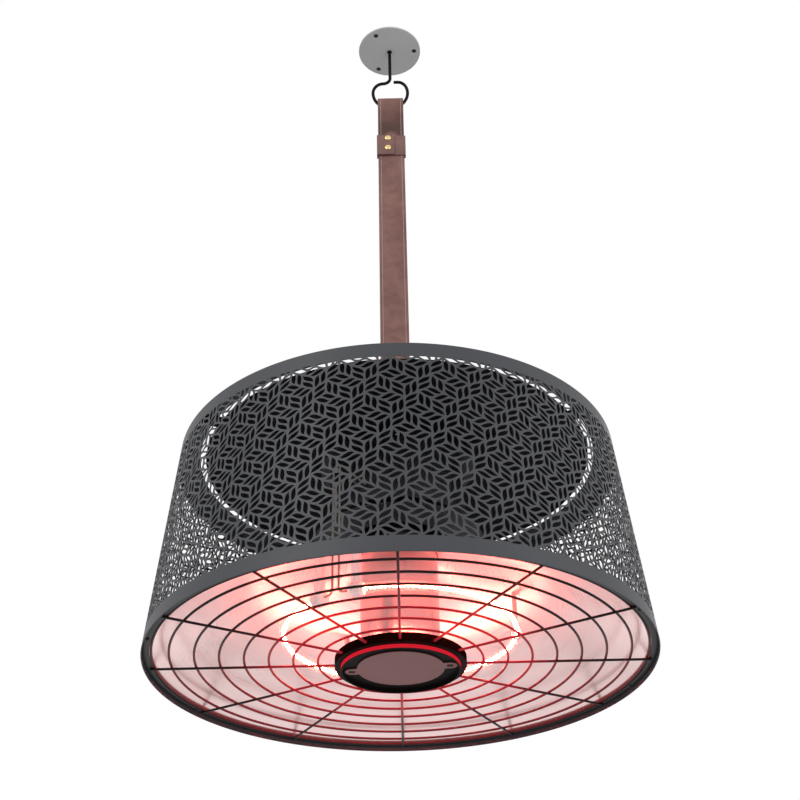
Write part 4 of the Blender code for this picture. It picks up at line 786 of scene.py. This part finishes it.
LOZENGE = 0.016567
LATTICE_TURN = 0.00386
LATTICE_SPOT = (0.031832, 0.057497)
LATTICE_TOP_BAND, LATTICE_BOTTOM_BAND = 0.0195, 0.0185
LEAF_TILT, LEAF_OFFSET = 13, 0.25
LEAF_HALF_LENGTH, LEAF_HALF_WIDTH = 0.0085, 0.0028
LEAST_LEAF_AREA, SEAM_MARGIN = 1.5e-6, 0.004
# One half of a leaf slot's outline in (along, across) shares, from its first tip.
LEAF_SIDE = [(-1.0, 0.0), (-0.86, 0.42), (-0.68, 0.80), (-0.42, 1.04),
             (-0.08, 1.02), (0.3, 0.76), (0.64, 0.38), (0.84, 0.15)]


def lattice_leaves():
    """Outlines of all leaf slots on the flat, developed wall, as (x, y) with y down from the top edge.

    Six lozenges make one tile of the lattice, and each lozenge holds two leaves.
    """
    h = math.sqrt(3) / 2
    tile = [((0, 0), 150, 90), ((-h, 0.5), 90, 150), ((-h, -1), 30, 90), ((h, 0), 90, 30),
            ((h / 2, 0.75), 30, -30), ((-1.5 * h, -0.25), -30, 30)]
    outline = LEAF_SIDE + [(-x, -y) for x, y in LEAF_SIDE]
    turn = Matrix.Rotation(LATTICE_TURN, 2)
    origin = Vector(LATTICE_SPOT)
    for n in range(-20, 22):
        for m in range(-24, 25):
            shift = Vector((-h, 1.5)) * n + Vector((4 * h, 0)) * m
            off_wall = abs(shift.x * LOZENGE) > 1.0 or not -0.20 < shift.y * LOZENGE < 0.32
            if off_wall:
                continue
            for centre, first, second in tile:
                edge = Vector(polar(1, math.radians(second)))
                tilt = math.copysign(LEAF_TILT, (second - first + 180) % 360 - 180)
                along = Vector(polar(1, math.radians(first + tilt)))
                across = edge - along * edge.dot(along)
                across.normalize()
                for side in (-LEAF_OFFSET, LEAF_OFFSET):
                    middle = (Vector(centre) + shift + edge * side) * LOZENGE
                    points = [middle + along * (LEAF_HALF_LENGTH * u) + across * (LEAF_HALF_WIDTH * v)
                              for u, v in outline]
                    yield [origin + turn @ p for p in points]


def unrolled(point):
    """A point of the developed wall as (arc length, slant distance from the apex)."""
    x, y = point.x, APEX - SLANT + point.y
    return math.atan2(x, y) * ARC_SCALE, math.hypot(x, y)


def clipped(outline, limit, keep_above):
    """The outline's part on one side of a slant distance."""
    made = []
    sign = 1 if keep_above else -1
    for i, (x, y) in enumerate(outline):
        px, py = outline[i - 1]
        inside, was = sign * (y - limit) >= 0, sign * (py - limit) >= 0
        if inside != was:
            t = (limit - py) / (y - py)
            made.append((px + (x - px) * t, limit))
        if inside:
            made.append((x, y))
    return made


def area(outline):
    return sum(a[0] * b[1] - a[1] * b[0] for a, b in zip(outline, outline[1:] + outline[:1])) / 2


def wall_leaves(high, low):
    """The leaf slots of the unrolled wall, cut off at its plain bands and all wound one way."""
    for outline in lattice_leaves():
        flat = [unrolled(p) for p in outline]
        if max(abs(x) for x, _ in flat) > HALF_TURN - SEAM_MARGIN:
            continue
        flat = clipped(clipped(flat, high, True), low, False)
        if len(flat) < 3 or abs(area(flat)) < LEAST_LEAF_AREA:
            continue
        yield flat if area(flat) > 0 else flat[::-1]


def wall_spot(arc_length, distance):
    """A point of the unrolled wall's outer face in the world."""
    angle = -math.pi / 2 + arc_length / ARC_SCALE / SINE
    return Vector((*polar(distance * SINE, angle), rim((APEX - distance) * COSINE)))


def shade_wall():
    """The cone, meshed flat with its slots left open, then rolled up and given a thickness."""
    top, bottom = APEX - SLANT + 0.0015, APEX - 0.0015
    high, low = APEX - SLANT + LATTICE_TOP_BAND, APEX - LATTICE_BOTTOM_BAND
    points, slots = [], []
    for k in range(SHADE_STEPS + 1):
        x = -HALF_TURN + 2 * HALF_TURN * k / SHADE_STEPS
        for y in (top, bottom, top + 0.006, top + 0.012, bottom - 0.0055, bottom - 0.011):
            points.append((x, y))
    for i in range(15):
        y = high + (low - high) * i / 14
        points += [(-HALF_TURN, y), (HALF_TURN, y)]
    for leaf in wall_leaves(high, low):
        slots.append(list(range(len(points), len(points) + len(leaf))))
        points += leaf
    corners = [Vector(p) for p in points]
    made, _, triangles, _, _, sources = delaunay_2d_cdt(corners, [], slots, 0, 1e-7)
    shape = bmesh.new()
    verts = [shape.verts.new(wall_spot(p.x, p.y)) for p in made]
    for triangle, source in zip(triangles, sources):
        if not source:
            shape.faces.new([verts[i] for i in triangle])
    bmesh.ops.delete(shape, geom=[v for v in shape.verts if not v.link_faces], context="VERTS")
    bmesh.ops.remove_doubles(shape, verts=shape.verts, dist=2e-6)
    bmesh.ops.recalc_face_normals(shape, faces=shape.faces)
    outer_faces, borders = list(shape.faces), [e for e in shape.edges if e.is_boundary]
    inner = {}
    for v in list(shape.verts):
        inward = Vector((v.co.x, v.co.y, 0)).normalized() * WALL
        inner[v] = shape.verts.new(v.co - inward)
    for face in outer_faces:
        shape.faces.new([inner[v] for v in reversed(face.verts)])
    for edge in borders:
        a, b = edge.verts
        shape.faces.new((a, b, inner[b], inner[a]))
    piece("shade_wall", shape, "shade_powder_coat", "heater", "shade_powder_coat", "shade")


def shade_rims():
    """The folded flange at the top, and the hem and screw lip at the bottom."""

    def outer(z):
        return SHADE_BOTTOM + (SHADE_TOP - SHADE_BOTTOM) * z / SHADE_TALL

    flange = [(outer(0.2685), 0.2685), (outer(0.2692), 0.2692),
              (SHADE_TOP - 0.0004, 0.2698), (SHADE_TOP - 0.0011, 0.27),
              (0.2512, 0.27), (0.2506, 0.2697), (0.2505, 0.2694), (0.2507, 0.2690), (0.2512, 0.2688),
              (outer(0.2688) - 0.0024, 0.2688), (outer(0.268) - 0.0014, 0.2680),
              (outer(0.2665) - WALL, 0.2665)]
    hem = [(outer(0.0017), 0.0017), (0.300, 0.0004), (0.2997, 0), (0.2990, 0),
           (0.2988, 0.0003), (outer(0.0017) - WALL, 0.0017)]
    lip_root = outer(0.0078) - WALL + 0.0001
    lip = [(lip_root, 0.0084), (0.2915, 0.0084), (0.2912, 0.0078), (0.2915, 0.0072), (lip_root, 0.0072)]
    shape = bmesh.new()
    for profile in (flange, hem, lip):
        turned(shape, raised(profile), SHADE_STEPS)
    rims = piece("shade_rims", shape, "shade_powder_coat", "heater", "shade_powder_coat", angle=30)
    drill(rims, "lip_holes", RIM_SCREW_SPOTS, SCREW_HOLE, 0.006, 0.0095)
    flange_spots = [polar(0.2575, math.radians(90 + 120 * i)) for i in range(3)]
    drill(rims, "flange_holes", flange_spots, SCREW_HOLE, 0.267, 0.272)


# Guard

WIRE = 0.0015
RING_HEIGHT, SPOKE_HEIGHT, BEAD_HEIGHT = 0.0069, 0.0045, 0.0057
GUARD_RINGS = [0.097 + 0.0286 * i for i in range(7)] + [0.2885]
SPOKES = 12


def bead(shape, centre):
    """A spot weld where two wires cross."""
    made = bmesh.ops.create_icosphere(shape, subdivisions=2, radius=0.0016)
    for v in made["verts"]:
        v.co = centre + Vector((v.co.x * 1.15, v.co.y * 1.15, v.co.z * 0.8))


def guard():
    """Rings welded on spokes, and the flat band at the rim."""
    shape = bmesh.new()
    for radius in GUARD_RINGS:
        steps = 120 if radius < 0.2 else 200
        points = arc((0, 0), radius, radius, 0, 360, steps)[:-1]
        tube(shape, [(x, y, rim(RING_HEIGHT)) for x, y in points], WIRE, 10, closed=True)
    for i in range(SPOKES):
        angle = math.tau * i / SPOKES
        radii = (0.0765, 0.12, 0.2, 0.2935, 0.2942, 0.2945)
        path = [(*polar(r, angle), rim(SPOKE_HEIGHT)) for r in radii]
        tube(shape, path, [WIRE] * 4 + [0.0012, 0.0006], 10)
        for radius in GUARD_RINGS:
            bead(shape, Vector((*polar(radius, angle), rim(BEAD_HEIGHT))))
    piece("guard_grid", shape, "guard", "heater", "black_steel", "wire_guard", angle=40)
    shape = bmesh.new()
    profile = [(0.2905, 0.0054), (0.2977, 0.0054), (0.2977, 0.0069), (0.2905, 0.0069)]
    turned(shape, raised(softened(profile, 0.0004, 2)), 200)
    band = piece("guard_band", shape, "black_steel", "heater", "black_steel", angle=40)
    drill(band, "guard_holes", RIM_SCREW_SPOTS, SCREW_HOLE, 0.004, 0.008)


# Ring lamp

LAMP_CIRCLE, LAMP_HEIGHT, LAMP_TUBE = 0.138, 0.040, 0.0055
GAP_CENTRE, GAP_ARC = math.radians(-120), math.radians(28)
LAMP_START, LAMP_END = GAP_CENTRE + GAP_ARC / 2, GAP_CENTRE - GAP_ARC / 2 + math.tau
COILS, COIL_STEPS, COIL_RADIUS, COIL_WIRE = 190, 8, 0.0018, 0.0005


def lamp():
    """An open ring of clear tube with a coil in it."""
    steps = 220
    angles = [LAMP_START + (LAMP_END - LAMP_START) * i / steps for i in range(steps + 1)]
    shape = bmesh.new()
    tube(shape, [(*polar(LAMP_CIRCLE, a), rim(LAMP_HEIGHT)) for a in angles], LAMP_TUBE, 24)
    piece("lamp_tube", shape, "lamp_glow", "heater", "lamp_glow", "ring_lamp")
    shape = bmesh.new()
    steps = COILS * COIL_STEPS
    path = []
    for k in range(steps + 1):
        angle = LAMP_START + (LAMP_END - LAMP_START) * k / steps
        turn = math.tau * k / COIL_STEPS
        spot = polar(LAMP_CIRCLE + COIL_RADIUS * math.cos(turn), angle)
        path.append((*spot, rim(LAMP_HEIGHT) + COIL_RADIUS * math.sin(turn)))
    tube(shape, path, COIL_WIRE, 5)
    piece("lamp_coil", shape, "filament", "heater", "lamp_glow")


# Dish and column

DISH_FOOT, DISH_TOP = 0.0087, 0.142
DISH_BEND, DISH_HOLE, DISH_THICK = 0.2885, 0.048, 0.001
ROD_HOLE = 0.0033


def dish():
    """A cone over the lamp with a flat edge, and holes for the rim screws and the leads."""
    corners = [(0.2975, DISH_FOOT), (DISH_BEND, DISH_FOOT), (DISH_HOLE, DISH_TOP)]
    under = softened(corners, 0.004, 6, closed=False)
    slope = (DISH_TOP - DISH_FOOT) / (DISH_BEND - DISH_HOLE)
    lift = DISH_THICK * math.hypot(1, slope)
    over = [(r, z + (DISH_THICK if r > 0.289 else lift)) for r, z in reversed(under)]
    shape = bmesh.new()
    turned(shape, raised(under + over), 256)
    slot = "polished_aluminium"
    shell = piece("dish_shell", shape, "dish", "heater", slot, "reflector_dish", angle=30)
    drill(shell, "dish_screw_holes", RIM_SCREW_SPOTS, SCREW_HOLE, 0.008, 0.0105)
    feet = []
    for angle, side in ((LAMP_START, -1), (LAMP_END, 1)):
        sideways = Vector((-math.sin(angle), math.cos(angle))) * (0.030 * side)
        feet.append(tuple(Vector(polar(LAMP_CIRCLE, angle)) + sideways))
    drill(shell, "lead_holes", feet, 0.0019, 0.078, 0.104)


def column():
    """A hollow can round the tie rod."""
    foot, top, radius, wall = 0.0123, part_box("column")[1].z - RIM_Z, 0.0475, 0.0012
    profile = [(ROD_HOLE, foot), (radius, foot), (radius, top), (ROD_HOLE, top),
               (ROD_HOLE, top - wall), (radius - wall, top - wall),
               (radius - wall, foot + wall), (ROD_HOLE, foot + wall)]
    shape = bmesh.new()
    turned(shape, raised(softened(profile, 0.0004, 2)), 160)
    piece("column_tube", shape, "column", "heater", "polished_aluminium", "column")


# Hub

HUB_RADIUS, HUB_TOP, COVER_RADIUS = 0.0775, 0.012, 0.0705
HUB_SCREW_X = 0.058
BADGE_RADIUS, BADGE_REACH, EAR_RADIUS = 0.0515, 0.0665, 0.0085
BADGE_TURN = math.radians(-7)


def tint(obj, look, radius, height):
    """Gives the upright faces beyond a radius and under a height of the rim frame a second look, used here
    for painted shade and painted lamp reflection.
    """
    obj.data.materials.append(LOOKS[look])
    for face in obj.data.polygons:
        wall = abs(face.normal.z) < 0.3 and math.hypot(face.center.x, face.center.y) > radius
        face.material_index = 1 if wall and face.center.z < rim(height) else 0


def hub():
    """The hub's body, and the cover with its rim that hangs below."""
    wall = COVER_RADIUS + FIT
    profile = [(0, 0.0105), (0.055, 0.0105), (0.055, 0.002), (wall, 0.002),
               (wall, 0), (HUB_RADIUS, 0), (HUB_RADIUS, HUB_TOP), (0, HUB_TOP)]
    shape = bmesh.new()
    turned(shape, raised(softened(profile, 0.0011, 4, closed=False)), 192)
    shell = piece("hub_shell", shape, "hub_plastic", "heater", "hub_plastic", "hub_body")
    drill(shell, "rod_hole", [(0, 0)], ROD_HOLE, 0.009, 0.014)
    # Painted shade on the hub body's upright side wall.
    tint(shell, "hub_shaded_side", 0.0760, HUB_TOP)
    profile = [(0, 0.0002), (0.068, 0.0002), (0.068, -0.0046),
               (COVER_RADIUS, -0.0046), (COVER_RADIUS, 0.0017), (0, 0.0017)]
    shape = bmesh.new()
    turned(shape, raised(softened(profile, 0.0008, 4, closed=False)), 192)
    ring = piece("hub_ring", shape, "hub_plastic", "heater", "hub_plastic", "hub_cover")
    # Painted red lamp reflection on the cover rim's outer wall.
    tint(ring, "hub_lamp_lit_edge", 0.0695, 0.0)
    ears = [polar(side * HUB_SCREW_X, BADGE_TURN) for side in (-1, 1)]
    drill(shell, "hub_screw_holes", ears, SCREW_HOLE, 0.0, 0.0050)
    drill(ring, "cover_screw_holes", ears, SCREW_HOLE, -0.001, 0.003)


def badge():
    """A round plate with two ears, and a screw in each ear."""
    lobe = math.degrees(math.asin(EAR_RADIUS / BADGE_RADIUS))
    ear = arc((BADGE_REACH - EAR_RADIUS, 0), EAR_RADIUS, EAR_RADIUS, -90, 90, 20)
    side = arc((0, 0), BADGE_RADIUS, BADGE_RADIUS, lobe, 180 - lobe, 60)
    outline = ear + side + [(-x, -y) for x, y in ear + side]
    place = Matrix.Translation((0, 0, RIM_Z)) @ Matrix.Rotation(BADGE_TURN, 4, "Z")
    shape = bmesh.new()
    prism(shape, outline, -0.0013, -0.0001, place)
    plate = piece("badge_plate", shape, "badge_plastic", "heater", "badge_plastic", "hub_badge")
    spots = [place @ Matrix.Translation((side * HUB_SCREW_X, 0, 0)) for side in (1, -1)]

    def holes(cutter):
        for spot in reversed(spots):
            turned(cutter, [(0, -0.004), (0.0040, -0.004), (0.0040, 0.002), (0, 0.002)], 40, spot)

    carve(plate, "badge_holes", holes)
    bevelled(plate, 0.0003)
    head = [(0, -0.0011), (0.0020, -0.0011), (0.0026, -0.0006), (0.0026, -0.0001), (0, -0.0001)]
    for number, spot in enumerate(spots, 1):
        shape = bmesh.new()
        turned(shape, head, 32, spot)
        name, node = f"hub_fixing_{number}", f"hub_screw_{number}"
        screw = piece(name, shape, "black_steel", "heater", "black_steel", node)
        cross(screw, spot, 0.0017, -0.002, -0.0006)


# Small CAD solids

BEVELS = {"top_cover": 0.0004, "hanger_bracket": 0.0005, "bracket_bolt_1": 0.0004,
          "bracket_bolt_2": 0.0004, "gland_nut": 0.0003, "gland_body": 0.0003,
          "hanger_bar": 0.0003, "bar_ring": 0.0002}
# The control housing and heat shield are zinc steel; their darker look is painted shade.
OTHER_LOOKS = {"control_housing": "dull_zinc", "heat_shield": "dull_zinc", "top_spider": "matt_black",
               "lamp_holder_1": "lit_zinc", "lamp_holder_2": "lit_zinc"}


def smoother_copies():
    """Small CAD solids that keep their shape and get softened edges."""
    for node, width in BEVELS.items():
        shape = bmesh.new()
        shape.from_mesh(frame["nodes"][node].data)
        bmesh.ops.remove_doubles(shape, verts=shape.verts, dist=1e-6)
        bmesh.ops.dissolve_limit(
            shape, angle_limit=math.radians(2), verts=shape.verts, edges=shape.edges
        )
        slot = SLOTS[node]
        look = "matt_black" if node == "top_cover" else slot
        obj = piece(f"{node}_soft", shape, look, "heater", slot, node)
        bevelled(obj, width)


def dress_the_rest():
    """A procedural finish for each CAD node that stays."""
    for name, obj in frame["nodes"].items():
        for place in obj.material_slots:
            place.material = LOOKS[OTHER_LOOKS.get(name, SLOTS[name])]


# Stage, light and camera

FLOOR_RADIUS, FLOOR_Z = 9, -4.4
LIGHT_AIM = Vector((0, 0, -0.8))
SENSOR, FOCAL_PIXELS, PICTURE_PIXELS = 36, 1267, 800
PITCH, ROLL = math.radians(33.76), math.radians(-1.18)
CAMERA_SPOT = (0.0054, -1.406, RIM_Z - 0.563)


def stage():
    """A pale floor far below."""
    shape = bmesh.new()
    bmesh.ops.create_circle(shape, cap_ends=True, segments=96, radius=FLOOR_RADIUS)
    floor = linked("floor", mesh_of("floor", shape))
    g = Graph.new("floor_paint", 0.7)
    g.colour(g.blend(g.spread(g.noise(0.8)), (0.84, 0.84, 0.84), (0.88, 0.88, 0.88)))
    floor.data.materials.append(g.material)
    floor.location.z = FLOOR_Z


def world():
    """White as the backdrop and in reflections, and dimmer as a light."""
    made = bpy.data.worlds.new("studio")
    bpy.context.scene.world = made
    made.use_nodes = True
    tree = made.node_tree
    tree.nodes.clear()
    path = tree.nodes.new("ShaderNodeLightPath")
    seen = path.outputs["Is Camera Ray"]
    for ray in ("Is Glossy Ray", "Is Transmission Ray"):
        most = tree.nodes.new("ShaderNodeMath")
        most.operation = "MAXIMUM"
        tree.links.new(seen, most.inputs[0])
        tree.links.new(path.outputs[ray], most.inputs[1])
        seen = most.outputs[0]
    mix = tree.nodes.new("ShaderNodeMixShader")
    tree.links.new(seen, mix.inputs[0])
    for socket, strength in ((1, 0.62), (2, 1.0)):
        background = tree.nodes.new("ShaderNodeBackground")
        background.inputs["Color"].default_value = (1, 1, 1, 1)
        background.inputs["Strength"].default_value = strength
        tree.links.new(background.outputs[0], mix.inputs[socket])
    out = tree.nodes.new("ShaderNodeOutputWorld")
    tree.links.new(mix.outputs[0], out.inputs[0])


def light_panel(name, spot, size, power):
    """A square area light that points at the shade's top."""
    data = bpy.data.lights.new(name, "AREA")
    data.size = size
    data.energy = power
    obj = linked(name, data)
    obj.location = spot
    obj.rotation_euler = (LIGHT_AIM - Vector(spot)).to_track_quat("-Z", "Y").to_euler()


def camera():
    """The photograph's view, from below and in front."""
    data = bpy.data.cameras.new("photo_camera")
    data.sensor_width = SENSOR
    data.lens = SENSOR * FOCAL_PIXELS / PICTURE_PIXELS
    data.clip_end = 50
    obj = linked("photo_camera", data)
    right, up = Vector((1, 0, 0)), Vector((0, -math.sin(PITCH), math.cos(PITCH)))
    ahead = Vector((0, math.cos(PITCH), math.sin(PITCH)))
    c, s = math.cos(ROLL), math.sin(ROLL)
    axes = Matrix((c * right + s * up, c * up - s * right, -ahead)).transposed().to_4x4()
    obj.matrix_world = Matrix.Translation(CAMERA_SPOT) @ axes
    bpy.context.scene.camera = obj


camera()
world()
stage()
light_panel("key", (-2.2, -2.6, 0.6), 2.2, 55)
light_panel("fill", (2.6, -1.8, -0.4), 2.2, 40)
light_panel("back", (0.4, 2.8, 0.9), 2.4, 40)
ceiling_plate()
hook()
strap()
keeper()
shade_wall()
shade_rims()
guard()
dish()
column()
hub()
badge()
lamp()
screws()
smoother_copies()
dress_the_rest()
bpy.context.scene.view_settings.view_transform = "Standard"
